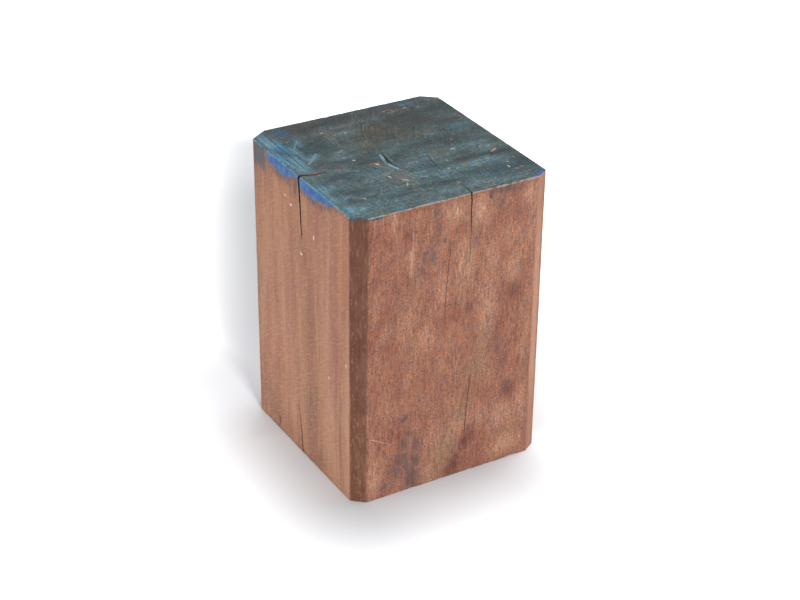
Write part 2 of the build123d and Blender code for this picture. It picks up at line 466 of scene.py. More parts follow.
def surface_fin(seed, face, datum, path, width, depth):
    """Grids on the two walls of a check within a face, [depth][step]. It is widest half way along."""
    steps, levels = CHECK_STEPS, CHECK_LEVELS
    shares = np.linspace(0, 1, steps)
    line = curve_through(path, shares)
    run = np.gradient(line, axis=0)
    run /= np.linalg.norm(run, axis=1)[:, None]
    side = np.column_stack([-run[:, 1], run[:, 0]])
    line = line + side * jitter(steps, seed, PATH_JITTER)[:, None]
    open_share = np.maximum(1 - (2 * shares - 1) ** 2, 0.02) ** 0.7
    torn = np.random.default_rng(seed + 1).uniform(*CHECK_TORN, steps)
    walls = []
    for sign in (-1, 1):
        wall = []
        for k in range(levels):
            down = -CLEAR if k == 0 else depth * ((k - 1) / (levels - 2)) ** 1.3
            share = max(1 - max(down, 0) / depth, 0.04)
            half = width / 2 * open_share * torn * share
            flat = line + side * (sign * half)[:, None] + np.array(datum)
            if face == "head":
                wall.append(np.column_stack([flat, np.full(steps, HEIGHT - down)]))
            elif face == "front":
                wall.append(np.column_stack([flat[:, 0], np.full(steps, down - HALF_Y), flat[:, 1]]))
            else:
                wall.append(np.column_stack([np.full(steps, down - HALF_X), -flat[:, 0], flat[:, 1]]))
        walls.append(np.array(wall))
    return walls


def fin_mesh(walls):
    """A closed skin round two facing grids of points."""
    rows, columns = walls[0].shape[:2]
    points = np.concatenate([wall.reshape(-1, 3) for wall in walls])
    half = rows * columns

    def at(wall, i, j):
        return wall * half + i * columns + j

    faces = []
    for i in range(rows - 1):
        for j in range(columns - 1):
            faces.append((at(0, i, j), at(0, i + 1, j), at(0, i + 1, j + 1), at(0, i, j + 1)))
            faces.append((at(1, i, j), at(1, i, j + 1), at(1, i + 1, j + 1), at(1, i + 1, j)))
    for i in range(rows - 1):
        for j in (0, columns - 1):
            faces.append((at(0, i, j), at(1, i, j), at(1, i + 1, j), at(0, i + 1, j)))
    for j in range(columns - 1):
        for i in (0, rows - 1):
            faces.append((at(0, i, j), at(0, i, j + 1), at(1, i, j + 1), at(1, i, j)))
    return points, faces


def tidy_normals(piece):
    """Turns all faces outward."""
    shape = bmesh.new()
    shape.from_mesh(piece.data)
    bmesh.ops.recalc_face_normals(shape, faces=shape.faces)
    shape.to_mesh(piece.data)
    shape.free()


def mark_faces(piece, index):
    """Gives a piece two empty slots and all its faces one of them, which the cuts carry over."""
    for _ in range(2):
        piece.data.materials.append(None)
    piece.data.polygons.foreach_set("material_index", np.full(len(piece.data.polygons), index, np.int32))


def weld_slivers(piece):
    """Joins the points that the cuts left on top of each other, and splits their many-sided faces."""
    shape = bmesh.new()
    shape.from_mesh(piece.data)
    bmesh.ops.remove_doubles(shape, verts=shape.verts, dist=WELD * MM)
    bmesh.ops.dissolve_degenerate(shape, edges=shape.edges, dist=SLIVER * MM)
    bmesh.ops.triangulate(shape, faces=[face for face in shape.faces if len(face.verts) > 4])
    shape.to_mesh(piece.data)
    shape.free()


def cut_checks(piece):
    """Cuts the checks into the block, and marks their walls for the material."""
    fins = [split_fin(101 + 5 * i, *split) for i, split in enumerate(SPLITS)]
    fins += [surface_fin(201 + 5 * i, *check) for i, check in enumerate(SURFACE_CHECKS)]
    for i, walls in enumerate(fins):
        cutter = make_object(f"cutter_{i}", *fin_mesh(walls))
        tidy_normals(cutter)
        mark_faces(cutter, 1)
        cut = piece.modifiers.new(f"check_{i}", "BOOLEAN")
        cut.operation, cut.solver, cut.object = "DIFFERENCE", "MANIFOLD", cutter
    graph = bpy.context.evaluated_depsgraph_get()
    mesh = bpy.data.meshes.new_from_object(piece.evaluated_get(graph))
    piece.modifiers.clear()
    piece.data = mesh
    marks = np.empty(len(mesh.polygons), np.int32)
    mesh.polygons.foreach_get("material_index", marks)
    mesh.attributes.new("wall", "FLOAT", "FACE").data.foreach_set("value", marks.astype(np.float32))
    weld_slivers(piece)
    for cutter in [o for o in bpy.data.objects if o.name.startswith("cutter_")]:
        bpy.data.objects.remove(cutter)


# ---------------------------------------------------------------- where the looks change, on the mesh


SPOT_FALL = 1.2  # how fast a spot fades
HEAD_SPREAD = 1.15  # how much wider the head's spots are than their tables say


def blob(across, up, centre, size, lean=0.0):
    """A soft spot from 0 to 1. size is its half width and half height, lean its tilt in radians."""
    u, v = across - centre[0], up - centre[1]
    c, s = np.cos(lean), np.sin(lean)
    u, v = u * c + v * s, v * c - u * s
    return np.exp(-SPOT_FALL * ((u / size[0]) ** 2 + (v / size[1]) ** 2))


def blobs(across, up, rows, spread=1.0):
    """The strongest of several spots, each as the tables give it. spread widens them all."""
    total = np.zeros(len(across))
    for strength, to_side, to_top, wide, high, *lean in rows:
        spot = blob(across, up, (to_side, to_top), (wide * spread, high * spread), *lean)
        total = np.maximum(total, strength * spot)
    return total


# Spots are (strength, centre's two places, half width, half height, and a lean where there is one).
# On the front face, as (x, z).
FRONT_STAINS = (
    (1, -13.5, 212, 3.6, 8.5), (0.65, -14, 200, 3.2, 6), (0.5, -16, 191, 3.6, 7, 0.2),
    (0.62, -19.5, 179.5, 6.5, 8, 0.2), (0.62, -24, 170, 6, 7, 0.2), (0.6, -7, 189, 1.8, 1.6),
    (1, 28, 213.5, 3, 3.5), (0.95, 38, 217, 13, 3.2), (0.75, 49, 216, 9, 3.6),
    (0.45, 34, 208, 6, 6, -0.3), (0.6, -36, 60, 5, 3, 0.5), (0.85, -38, 39, 5, 6.5),
    (1, -27, 36, 5, 7.5), (0.55, -33, 46, 8, 4), (0.45, -22, 48, 3, 5), (1, -27, 22, 4.8, 5),
    (0.7, -40, 22, 8, 13), (1, -31, 8, 6.5, 8.5, -0.2), (0.5, -50, 8, 8, 5), (0.25, -33, 28, 12, 14),
    (0.4, 25, 3, 4, 4), (0.4, 44, 61, 5, 8), (0.35, 18, 158, 2.5, 6, -0.4), (0.3, 48, 138, 9, 7, -0.4),
    (0.28, -55, 121, 6, 6), (0.26, 37, 100, 6, 8), (0.26, -8, 84, 7, 8),
)
FRONT_LIGHTS = (
    (0.9, 0, 208, 9, 7), (1, 19, 204, 8, 11), (0.5, 8, 42, 8, 9, -0.3), (0.5, 26, 44, 8, 8),
    (1, 59, 208, 7, 10), (0.55, 60, 184, 6, 20), (0.6, -32.5, 183, 3, 12), (0.45, -46, 210, 2.4, 8),
    (0.7, 9, 168, 8, 18, -0.1), (0.65, 29, 132, 6, 24, -0.1), (0.6, 31, 166, 7, 16),
    (0.65, 46, 154, 9, 11), (0.5, 43, 182, 8, 12), (0.35, -36, 132, 8, 14), (0.55, -9, 152, 7, 13),
    (0.4, -20, 118, 12, 8, -0.6), (0.6, 44, 38, 14, 9, -0.5), (0.8, 47, 12, 16, 9),
    (0.55, 60, 40, 6, 16), (0.4, -14, 40, 5, 9), (0.4, -16, 8, 6, 12, -0.2), (0.7, -60, 18, 7, 18),
    (0.5, -44, 8, 8, 7), (0.35, 60, 100, 5, 30),
)
FRONT_OLIVES = (
    (0.6, 11, 165, 7, 26), (0.75, 27, 106, 7, 30, -0.1), (0.65, 18, 82, 14, 14),
    (0.8, 6, 48, 10, 15, -0.3), (0.9, -4, 24, 11, 18, -0.35), (0.7, -14, 6, 10, 12, -0.3),
    (0.45, -36, 150, 8, 14), (0.4, -30, 112, 6, 8), (0.5, 50, 20, 12, 14, -0.4), (0.5, 12, 206, 12, 8),
    (0.4, -48, 132, 6, 8), (0.4, 62, 60, 4, 30),
)
FRONT_REDS = (
    (0.6, -52, 203, 9, 12), (0.6, -63, 204, 7, 14), (0.75, -36, 196, 5, 8), (0.3, -52, 174, 12, 14),
    (0.5, 3, 196, 6, 5), (0.65, 39, 194, 7, 8), (0.4, 35, 170, 6, 14), (0.5, -48, 142, 8, 12),
    (0.55, -52, 118, 8, 8), (0.6, 2, 132, 5, 8), (0.5, 14, 134, 4, 8), (0.75, 50, 135, 12, 8, -0.4),
    (0.6, 36, 108, 6, 12, -0.4), (0.45, 45, 118, 8, 7), (0.45, -61, 92, 7, 14), (0.5, -65, 150, 4, 60),
    (0.4, -50, 95, 8, 10), (0.5, 50, 97, 6, 10), (0.5, 48, 80, 5, 10), (1, 46, 57, 6.5, 8.5),
    (0.5, 30, 60, 8, 6), (0.65, -46, 46, 9, 10), (0.5, -56, 38, 6, 12), (1, 5, 10, 7, 14, -0.35),
    (0.95, 14, 28, 6, 12, -0.45), (0.65, 30, 14, 9, 12), (0.5, 58, 24, 5, 7), (0.5, -22, 52, 5, 7),
    (0.4, -16, 80, 8, 10),
)
FRONT_DARKS = (
    (0.9, 3, 8, 6, 12, -0.35), (0.7, 13, 26, 5, 11, -0.45), (0.2, -38, 20, 15, 24),
    (0.3, -42, 52, 10, 12), (0.35, 50, 137, 10, 5, -0.3), (0.35, 12.5, 198, 2.5, 16),
    (0.5, 46, 57, 5, 7), (0.3, 64, 60, 3, 50), (0.35, -35, 198, 4, 7), (0.6, 20, 217.5, 14, 1.8),
    (0.4, -30, 217.5, 26, 2), (0.3, 40, 88, 8, 14),
)
# On the left face, as (y, z).
LEFT_STAINS = (
    (1, 64, 213, 7, 10), (1, 53, 210, 7, 8), (0.6, 66, 203, 5, 9), (1, 5.5, 210, 3.2, 9.5, -0.05),
    (0.7, 12, 209, 3, 4), (0.75, 20, 208.5, 6, 2.6), (0.75, 32, 208, 9, 2.4),
    (0.85, -14, 209.5, 9, 2.6), (0.9, -29, 209.5, 9, 3, -0.1), (0.7, -39, 212.5, 5, 3, -0.3),
    (0.5, -48, 216, 6, 2.6), (0.9, 35.4, 6, 1.4, 5, 0.1), (0.3, 62, 112, 5, 20), (0.25, -12, 44, 5, 20),
    (0.25, 50, 26, 8, 12),
)
LEFT_BROWNS = (
    (0.85, -15, 40, 11, 48), (0.65, -12, 112, 9, 40), (0.5, -8, 160, 6, 30), (0.7, -24, 10, 12, 14),
    (0.6, 63, 20, 7, 30), (0.7, 42, 12, 13, 15), (0.55, 64, 192, 6, 24), (0.6, 67, 100, 4.5, 90),
    (0.8, -57, 50, 1.9, 44), (0.8, -50.5, 118, 1.6, 28), (0.75, 26, 208, 24, 6), (0.8, 3.5, 206, 4, 10),
    (0.7, -22, 208, 16, 6), (0.5, 1, 150, 2.2, 36), (0.35, 4, 90, 1.6, 40), (0.35, -45, 200, 5, 12),
    (0.3, 30, 60, 2, 50),
)
# The first row, a narrow pale strip on the left face beside the front left chamfer, is a painted highlight
# along that arris; the rest are paler wood.
LEFT_LIGHTS = (
    (0.95, -66, 80, 4.2, 88), (0.8, -64, 14, 7, 24), (0.45, -48, 16, 8, 20), (0.75, -37, 122, 7, 60),
    (0.75, -42, 52, 9, 42), (0.55, 45, 150, 8, 40), (0.55, 22, 160, 8, 26), (0.55, 18, 72, 8, 40),
    (0.5, 40, 82, 8, 30), (0.6, 14, 34, 9, 32), (0.4, -20, 168, 6, 20), (0.45, 30, 100, 9, 20),
    (0.3, 55, 110, 5, 40),
)
LEFT_ORANGES = (
    (1, -56, 165, 2.8, 42), (0.6, -63, 187, 4, 24), (0.6, 37, 168, 2.8, 16), (0.8, 7, 190, 3.6, 14),
    (0.55, 20, 194, 10, 9), (0.45, 44, 112, 5, 12), (0.35, 26, 50, 5, 20), (0.4, 5, 158, 3, 20),
    (0.4, 60, 150, 4, 24),
)
LEFT_REDS = (
    (0.8, -24, 8, 9, 7), (0.45, -12, 90, 8, 30), (0.6, 66, 34, 5, 22), (0.55, -64, 180, 4, 30),
    (0.45, -8, 156, 6, 20), (0.45, 20, 10, 9, 10), (1, -12, 1, 30, 2.4), (0.6, 30, 1, 14, 2),
    (0.45, 46, 196, 7, 10), (0.4, -2.5, 172, 2.5, 8), (0.4, -26, 188, 3, 16),
)
# On the head, as (x, y).
HEAD_BLUES = (
    (1, -64, 46, 3.6, 13), (0.95, -69.5, 55, 4.2, 19), (0.95, -71.5, 28, 3.6, 20),
    (0.95, -66, 20, 5, 17), (0.75, -60, 34, 4, 14), (0.7, -68, 8, 6.5, 6), (0.5, -54, 20, 5, 6, -0.6),
    (0.4, -52, 46, 4, 8, -0.4), (0.85, -72, -26, 4.5, 10), (0.65, -66, -25, 7, 4),
    (0.6, -72, -42, 3.5, 8), (0.55, -64, -43, 6, 2.5, 0.2), (0.85, -70, -60, 6, 7),
    (0.55, -61, -62, 6, 3), (0.45, -40, -73, 2.6, 3), (0.35, 47, 69, 6, 4), (0.3, 62, 20, 10, 5),
)
HEAD_TEALS = (
    (0.6, -54, 66, 4.6, 9), (0.55, -51, 48, 4, 10), (1, 46, -54, 25, 8.5), (0.75, 66, -49, 10, 6),
    (0.65, 5, -54, 15, 5), (0.6, -50, -40, 14, 6), (0.6, 24, 8, 26, 6), (0.5, 60, 60, 12, 6),
    (0.5, -44, 30, 12, 8), (0.5, 62, 21, 10, 5), (0.5, 10, 73, 32, 3), (0.45, -50, -15, 16, 6),
    (0.5, 50, -29, 26, 4), (0.4, -24, -56, 12, 6),
)
HEAD_DARKS = (
    (1, 41, 42, 13, 10, -0.4), (1, 26, 52, 9, 8), (0.6, 38, 56, 14, 5), (0.6, 2, 28, 7, 6),
    (0.5, -52, -14, 12, 7), (0.6, 14, 72, 56, 4), (0.8, -8, 68, 46, 8), (1.2, -43, 66, 13, 10),
    (0.5, 64, 54, 12, 7), (0.4, -20, -50, 3, 12), (0.8, 49, 3, 14, 5), (0.65, 20, 3, 14, 5),
    (0.9, -55, -39, 11, 4), (0.7, -63, -50, 7, 2.4, 0.3), (1, 66, -30, 9, 3.6),
    (0.9, 40, -28.5, 17, 3.2), (0.45, 12, -28, 8, 3), (0.55, -28, -56, 7, 5), (0.75, 6, -54, 15, 3.5),
    (0.65, 40, -49, 18, 4.5), (0.55, 62, -56, 9, 5), (0.55, -36, 73, 10, 3), (0.45, -55, 8, 5, 4),
    (0.5, -26, -3, 22, 3), (0.6, 34, 31, 13, 7), (0.45, 62, 49, 10, 8), (0.9, 54, 30, 15, 8),
    (0.6, 71, -44, 8, 32), (0.35, 28, -10, 8, 6), (0.3, -38, -68, 18, 6), (0.45, 0, 14, 14, 5),
    (0.45, -44, 38, 9, 6),
)
HEAD_OLIVES = (
    (0.85, -34, 69, 9, 6), (0.85, 6, 41, 15, 13), (0.85, -5, 26, 14, 10), (0.85, 19, 30, 8, 11, -0.8),
    (0.65, 30, 20, 14, 7), (0.7, -30, 54, 14, 7), (0.65, -12, 52, 12, 8), (0.5, 10, 58, 22, 5),
    (0.6, 44, 2, 5, 4), (0.45, -15, 14, 10, 6), (0.6, 34, -30, 6, 3),
)
HEAD_PALES = (
    (0.45, -30, 56, 10, 5), (0.7, -15, 47, 6, 4), (0.45, -28, 40, 2.5, 10), (0.45, 3, 57, 26, 3.5),
    (0.5, -38, 12, 9, 5), (0.7, -44, -5, 8, 2.8, 0.3), (0.5, 40, 17, 7, 4), (0.25, 63, 37, 12, 9),
    (0.6, 60, -15, 15, 7), (0.4, 38, -13, 10, 6), (0.55, 8, -19, 14, 9), (0.8, 14, -42, 13, 6),
    (0.95, 46, -38, 30, 4.2), (0.75, 0, -35, 9, 6), (0.7, -30, -50, 4.5, 4), (0.55, 22, -67, 30, 5),
    (0.55, -45, -66, 20, 6), (0.55, 0, -68, 16, 5), (0.75, -66, -68, 9, 5), (0.45, -30, -20, 14, 6),
    (0.45, -52, -24, 8, 4), (0.5, 8, -49, 9, 4), (0.8, 63, 72, 9, 4, -0.4),
)
HEAD_PINKS = (
    (0.85, -17, -34, 7, 9.5), (0.7, -20, -10, 4, 6), (0.55, -17, -56, 3, 14), (0.45, 24, -14, 6, 8),
    (0.25, 68, 30, 8, 9), (0.3, 6, 60, 22, 3), (0.5, 70, 67, 5, 5), (0.4, -28, 40, 2, 8),
    (0.25, 32, 62, 28, 4), (0.45, 30, -74, 32, 2.2),
)
HEAD_BROWNS = (
    (1, 32, 63.5, 26, 4), (0.7, 62, 62, 8, 4, -0.2), (0.6, -4, 66, 14, 3), (0.6, -16, -34, 5, 11),
    (0.6, -20, -9, 3, 4), (0.6, 60, -59, 7, 2.5), (0.8, 70.5, 66, 4, 4.5, 0.7),
    (0.6, 20, 30, 3, 12, -0.8), (0.45, 34, -30, 9, 2.4), (0.35, -42, 54, 12, 8),
)


# The lower edge of the blue slop on the left face: (y, how far below the head).
SLOP_LINE = (
    (-77, -2), (-60, -1), (-50, 0.8), (-46, 1.6), (-43, 2.4), (-40, 3.4), (-36, 5), (-30, 6.6),
    (-22, 7.6), (-14, 8), (-6, 8.2), (-1, 8.4), (1, 4), (3, 1.5), (8, 2.6), (12, 5.4), (17, 8.2),
    (24, 9.2), (30, 8.6), (38, 7.6), (43, 7.2), (46.5, 6), (48, -2), (77, -3),
)
SLOP_RAGGED = 3.4


def slop_edge(y, points):
    """The height that the blue slop runs down to on the left face."""
    ragged = SLOP_RAGGED * (fractal(points, (2.6, 2.6, 9), 401, 3) - 0.5)
    return HEIGHT - np.interp(y, *zip(*SLOP_LINE)) + ragged


FACE_BLEND = 0.22  # how softly the looks of one face pass into the next, over an arris
DRIFT, FRAY = 5, 3  # how far the spots' outlines wander, slowly and finely


def add_field(mesh, name, values):
    """A number for each vertex, which the material reads by name."""
    field = mesh.attributes.new(name, "FLOAT", "POINT")
    field.data.foreach_set("value", np.asarray(values, np.float32))


def paint_fields(piece):
    """Stores, at each vertex, which face it belongs to and where the stains, lights and paints lie."""
    mesh = piece.data
    flat = np.empty(len(mesh.vertices) * 3)
    mesh.vertices.foreach_get("co", flat)
    points = flat.reshape(-1, 3) / MM
    gaps = points @ NORMALS.T - OFFSETS
    near = np.exp(np.clip((gaps - gaps.max(1)[:, None]) / FACE_BLEND, -30, 0))
    near /= near.sum(1)[:, None]
    weight = dict(zip(FACES + ("head", "foot"), near.T))
    x, y, z = points.T
    drift = DRIFT * (fractal(points, (12, 12, 18), 301, 2) - 0.5)
    fray = FRAY * (fractal(points, (4, 4, 12), 307, 2) - 0.5)
    front, left, head = weight["front"], weight["left"], weight["head"]
    back, right = weight["back"], weight["right"]
    plain = fractal(points, (22, 22, 60), 311, 3)
    bands = fractal(points, (40, 9, 200), 321, 3)

    def on_front(rows):
        return front * blobs(x + 0.6 * drift + fray, z + drift, rows)

    def on_left(rows):
        return left * blobs(y + 0.3 * drift + 0.5 * fray, z, rows)

    def on_head(rows):
        return head * blobs(x + drift, y + 0.6 * drift + 0.5 * fray, rows, HEAD_SPREAD)

    fields = {
        "front": front + back,
        "planed": left + right,
        "dark_chamfer": weight["front_left"] + 0.6 * weight["back_left"] + 0.4 * weight["back_right"],
        "pale_chamfer": weight["front_right"],
        "wash": weight["back_left"],
        "head": head,
        "stain": on_front(FRONT_STAINS)
        + on_left(LEFT_STAINS)
        + (back + right) * 0.6 * step(0.62, 0.8, plain),
        "light": on_front(FRONT_LIGHTS)
        + on_left(LEFT_LIGHTS)
        + back * 0.5 * step(0.5, 0.3, plain)
        + right * 0.6 * step(0.52, 0.3, bands),
        "red": on_front(FRONT_REDS) + on_left(LEFT_REDS) + back * step(0.45, 0.7, plain),
        "brown": on_left(LEFT_BROWNS) + right * 0.8 * step(0.48, 0.7, bands) + on_head(HEAD_BROWNS),
        "orange": on_left(LEFT_ORANGES),
        "olive": on_front(FRONT_OLIVES) + on_head(HEAD_OLIVES) + back * 0.5 * step(0.5, 0.65, bands),
        "dark": on_front(FRONT_DARKS) + on_head(HEAD_DARKS),
        "blue": head * blobs(x + 0.3 * fray, y, HEAD_BLUES),
        "teal": on_head(HEAD_TEALS),
        "pale": on_head(HEAD_PALES),
        "pink": on_head(HEAD_PINKS),
        "slop": left * np.clip(z - slop_edge(y, points), -6, 6) - 6 * (1 - left),
    }
    for name, values in fields.items():
        add_field(mesh, name, values)


# ---------------------------------------------------------------- the material's nodes


def rgb(red, green, blue):
    """A colour as a screen shows it, 0 to 255, turned into Blender's linear one."""
    part = np.array((red, green, blue)) / 255
    part = np.where(part < 0.04045, part / 12.92, ((part + 0.055) / 1.055) ** 2.4)
    return (*part, 1.0)


STROKE_CORE = 0.35  # the share of a stroke's half width that is at full strength


class Tree:
    """Short words for shader nodes. Each returns the socket that the next one reads."""

    def __init__(self, owner):
        self.nodes = owner.node_tree.nodes
        self.links = owner.node_tree.links

    def feed(self, socket, value):
        """Links a socket to an input, or sets the input to a plain value."""
        if isinstance(value, bpy.types.NodeSocket):
            self.links.new(value, socket)
        else:
            socket.default_value = value

    def add(self, kind, inputs, output=0, **settings):
        """A node of a kind, with its settings and inputs."""
        node = self.nodes.new(kind)
        for name, value in settings.items():
            setattr(node, name, value)
        for key, value in inputs.items():
            self.feed(node.inputs[key], value)
        return node.outputs[output]

    def math(self, operation, a, b=0.0, c=0.0):
        return self.add("ShaderNodeMath", {0: a, 1: b, 2: c}, operation=operation)

    def times(self, *values):
        product = values[0]
        for value in values[1:]:
            product = self.math("MULTIPLY", product, value)
        return product

    def plus(self, *values):
        total = values[0]
        for value in values[1:]:
            total = self.math("ADD", total, value)
        return total

    def most(self, *values):
        top = values[0]
        for value in values[1:]:
            top = self.math("MAXIMUM", top, value)
        return top

    def less(self, a, b):
        return self.math("SUBTRACT", a, b)

    def step(self, value, low_edge, high_edge, at_low=0.0, at_high=1.0):
        """A smooth passage from one level to another while a value passes between two edges."""
        inputs = {"Value": value, "From Min": low_edge, "From Max": high_edge}
        inputs |= {"To Min": at_low, "To Max": at_high}
        return self.add("ShaderNodeMapRange", inputs, interpolation_type="SMOOTHSTEP")

    def vector(self, operation, a, b, output=0):
        return self.add("ShaderNodeVectorMath", {0: a, 1: b}, output, operation=operation)

    def amount(self, *factors):
        """The factors' product. One given as (value, low edge, high edge, ...) is stepped first."""
        return self.times(*(self.step(*f) if isinstance(f, tuple) else f for f in factors))

    def swing(self, pattern, size):
        """How far a pattern is from its middle, times a size."""
        return self.times(self.less(pattern, 0.5), size)

    def scaled(self, vector, by):
        return self.vector("MULTIPLY", vector, by)

    def moved(self, vector, by):
        return self.vector("ADD", vector, by)

    def turned(self, vector, by):
        return self.add("ShaderNodeMapping", {"Vector": vector, "Rotation": by})

    def noise(self, vector, size, detail=2.0, rough=0.5, shift=0.0, colour=False):
        """Noise whose features are size millimetres long in X, Y and Z."""
        at = self.scaled(vector, tuple(1.0 / s for s in size))
        if shift:
            at = self.moved(at, (shift, shift * 0.7, shift * 1.3))
        inputs = {"Vector": at, "Scale": 1.0, "Detail": detail, "Roughness": rough}
        return self.add("ShaderNodeTexNoise", inputs, output=1 if colour else 0)

    def blend(self, factor, a, b, how="MIX"):
        node = self.nodes.new("ShaderNodeMix")
        node.data_type, node.blend_type = "RGBA", how
        self.feed(node.inputs[0], factor)
        self.feed(node.inputs[6], a)
        self.feed(node.inputs[7], b)
        return node.outputs[2]

    def toned(self, amount, colour, ratio):
        """The colour, with its red, green and blue multiplied by a ratio where the amount is 1."""
        return self.blend(amount, colour, (*ratio, 1.0), "MULTIPLY")

    def between(self, pattern, first, second):
        """One shade, passing into a second where the stepped pattern rises."""
        return self.blend(self.step(*pattern), rgb(*first), rgb(*second))

    def coats(self, colour, *rows):
        """Lays coats over a colour in turn: the factors of each one's amount, then its shade."""
        for *factors, shade in rows:
            colour = self.blend(self.amount(*factors), colour, rgb(*shade))
        return colour

    def tones(self, colour, *rows):
        """Multiplies a colour in turn: the factors of each amount, then red, green and blue ratios."""
        for *factors, ratio in rows:
            colour = self.toned(self.amount(*factors), colour, ratio)
        return colour

    def grained(self, colour, *rows):
        """Two tones for each pattern, as far above its middle as below: its edges above, the factors
        of both amounts, the ratios above, then the ratios below."""
        for pattern, low_edge, high_edge, *factors, above, below in rows:
            colour = self.toned(self.amount((pattern, low_edge, high_edge), *factors), colour, above)
            colour = self.toned(self.amount((pattern, 1 - low_edge, 1 - high_edge), *factors), colour, below)
        return colour

    def field(self, name):
        return self.add("ShaderNodeAttribute", {}, output=2, attribute_name=name)

    def fields(self, names):
        return [self.field(name) for name in names.split()]

    def flat(self, place, across, up):
        """Two of a place's three lengths, as a flat (across, up, 0)."""
        parts = self.nodes.new("ShaderNodeSeparateXYZ")
        self.feed(parts.inputs[0], place)
        return self.add("ShaderNodeCombineXYZ", {0: parts.outputs[across], 1: parts.outputs[up]})

    def strokes(self, at, rows):
        """Short straight strokes on a flat face, as the tables give them. The strongest counts."""
        top = 0.0
        for strength, *ends, half in rows:
            start, end = np.array((*ends[:2], 0.0)), np.array((*ends[2:], 0.0))
            run = end - start
            length2 = float(run @ run)
            gone = self.vector("SUBTRACT", at, tuple(start))
            if length2:
                share = self.vector("DOT_PRODUCT", gone, tuple(run / length2), 1)
                share = self.add("ShaderNodeClamp", {"Value": share})
                along = self.add("ShaderNodeCombineXYZ", {0: share, 1: share})
                away = self.vector("DISTANCE", gone, self.scaled(along, tuple(run)), 1)
            else:
                away = self.vector("LENGTH", gone, (0, 0, 0), 1)
            top = self.math("MAXIMUM", self.step(away, half, half * STROKE_CORE, 0.0, strength), top)
        return top

    def marks(self, colour, at, *rows):
        """Draws strokes over a colour in turn: their table, the factors of their amount, their shade."""
        for table, *factors, shade in rows:
            amount = self.amount(self.strokes(at, table), *factors)
            colour = self.blend(amount, colour, rgb(*shade))
        return colour


WOOD_ROUGHNESS = 0.86
PAINT_ROUGHNESS = (0.62, 0.78)  # it varies from cloud to cloud
SHEEN = 0.3
RELIEF_STRENGTH = 0.9

# Strokes are (strength, start's two places, end's two places, half width). On the head, as (x, y).
HEART_RIDGE = (
    (1, -11, 3, -12.6, -4, 1.6), (0.85, -12.8, -4, -14, -9, 1.2), (0.95, -14, -10, -13.4, -16, 1.4),
    (1, -13, -16, -11.4, -22, 1.5), (0.6, -10.8, -21, -8.4, -30, 0.8), (0.55, -7.6, 3, -8.8, -10, 0.7),
)
PALE_STROKES = (
    (0.65, -60, 13, -48.5, 25, 1.5), (0.45, -57.5, 16, -47, 22.5, 1), (0.55, -58, 39, -50, 50, 0.9),
    (0.45, 3, 51, -3.8, 41, 0.7), (0.4, -3.8, 41, -6.2, 30, 0.7), (0.25, 8, 12, 22, 40, 0.5),
    (0.2, 22, 26, 36, 36, 0.5), (0.22, -31, 18, -24, 46, 0.6), (0.22, 26, 18, 36, 34, 0.45),
    (0.2, 0, 62, 6, 73, 0.6), (0.7, -4, -38.8, 0, -41.7, 0.9), (0.45, 34.8, -50, 35.2, -60, 0.45),
    (0.4, 37, -50, 37.4, -58, 0.4), (0.45, -42, -9, -36, -12, 1.2), (0.5, -66, -46, -58, -41, 0.7),
    (0.45, -60, -44, -54, -50, 0.6), (0.4, -40, -50, -35, -40, 0.6), (0.45, -37, -62, -36, -72, 0.6),
    (0.35, -50, -60, -49, -72, 0.5),
)
DARK_STROKES = (
    (0.85, -64.6, 70, -65.4, 42, 0.55), (0.85, -65.4, 42, -66.2, 6, 0.6),
    (0.6, -61.5, 30, -60.6, 4, 0.45), (0.7, 2.6, 53, -2.6, 44, 0.6), (0.75, -2.6, 44, -6.6, 30, 0.6),
    (0.6, 17.2, -8, 15, -22, 0.5), (0.6, 15, -22, 13.4, -36, 0.5), (0.45, -8.4, 6, -4, 24, 0.5),
    (0.45, -9, -27, -8.6, -44, 0.45), (0.4, -34, 20, -30, -28, 0.4), (0.7, 12.8, -56.5, 14, -53, 1),
    (0.6, 44.2, 1.2, 44.2, 1.2, 2), (0.9, -56.8, -3.4, -56.4, -3, 1.6),
)
BEIGE_SPECKS = (
    (1, -31.2, 4, -30.2, 4, 1), (0.9, -20.6, -8, -19.4, -9.8, 1.1), (0.8, -22.5, -29, -22.3, -31, 0.9),
    (0.7, -16.8, -37.5, -14.4, -40, 0.9), (0.8, 36, -12.6, 38.4, -12.4, 1),
    (0.6, 18, -37.5, 19.4, -37.5, 0.8), (0.6, 49.6, -37, 50.4, -37, 0.7),
    (0.9, 55.6, -53, 56, -54.8, 0.8), (0.7, 59, -47, 59.4, -47.8, 0.7),
    (0.6, 61.8, -18.8, 61.8, -19.4, 0.7), (0.6, 66.6, -43, 66.6, -43, 0.8),
    (0.6, -18.5, -46, -17, -43.5, 0.7), (0.55, -30, 53, -28, 53.5, 0.7), (0.5, 24, -25, 24.4, -27, 0.6),
    (0.6, -53.5, -49, -52.8, -51, 0.7),
)
ORANGE_SPECKS = (
    (1, 58.4, -28.4, 63, -25.8, 1), (0.85, 12.9, -57.4, 13.3, -59.6, 1),
    (0.9, 44.6, 1.6, 44.6, 0.8, 0.8), (0.8, -57, 51, -57, 51, 0.9), (0.8, 58, -59, 59.6, -59.4, 0.8),
    (0.8, 62.6, -57.6, 64.2, -58.4, 0.8), (0.75, -55.4, 1, -53, 0.8, 0.9),
    (0.65, -48.5, 0.4, -46, -0.2, 0.8), (0.55, -43, -0.4, -41.5, -0.6, 0.7),
    (0.55, 32, 62, 34, 61.6, 0.8), (0.7, 26, 65, 29, 65.6, 0.7), (0.65, 42, 62.8, 44.6, 63.4, 0.8),
    (0.55, 52, 60.4, 54, 61.4, 0.8),
)
NAVY = (
    (1, -55, 71, -53, 61, 6.5), (0.55, -52, 56, -50, 44, 4),
)
AZURE = (
    (1, -63.6, 54, -64.4, 38, 3.6), (0.6, -72.5, 36, -72.5, 22, 2.4),
)
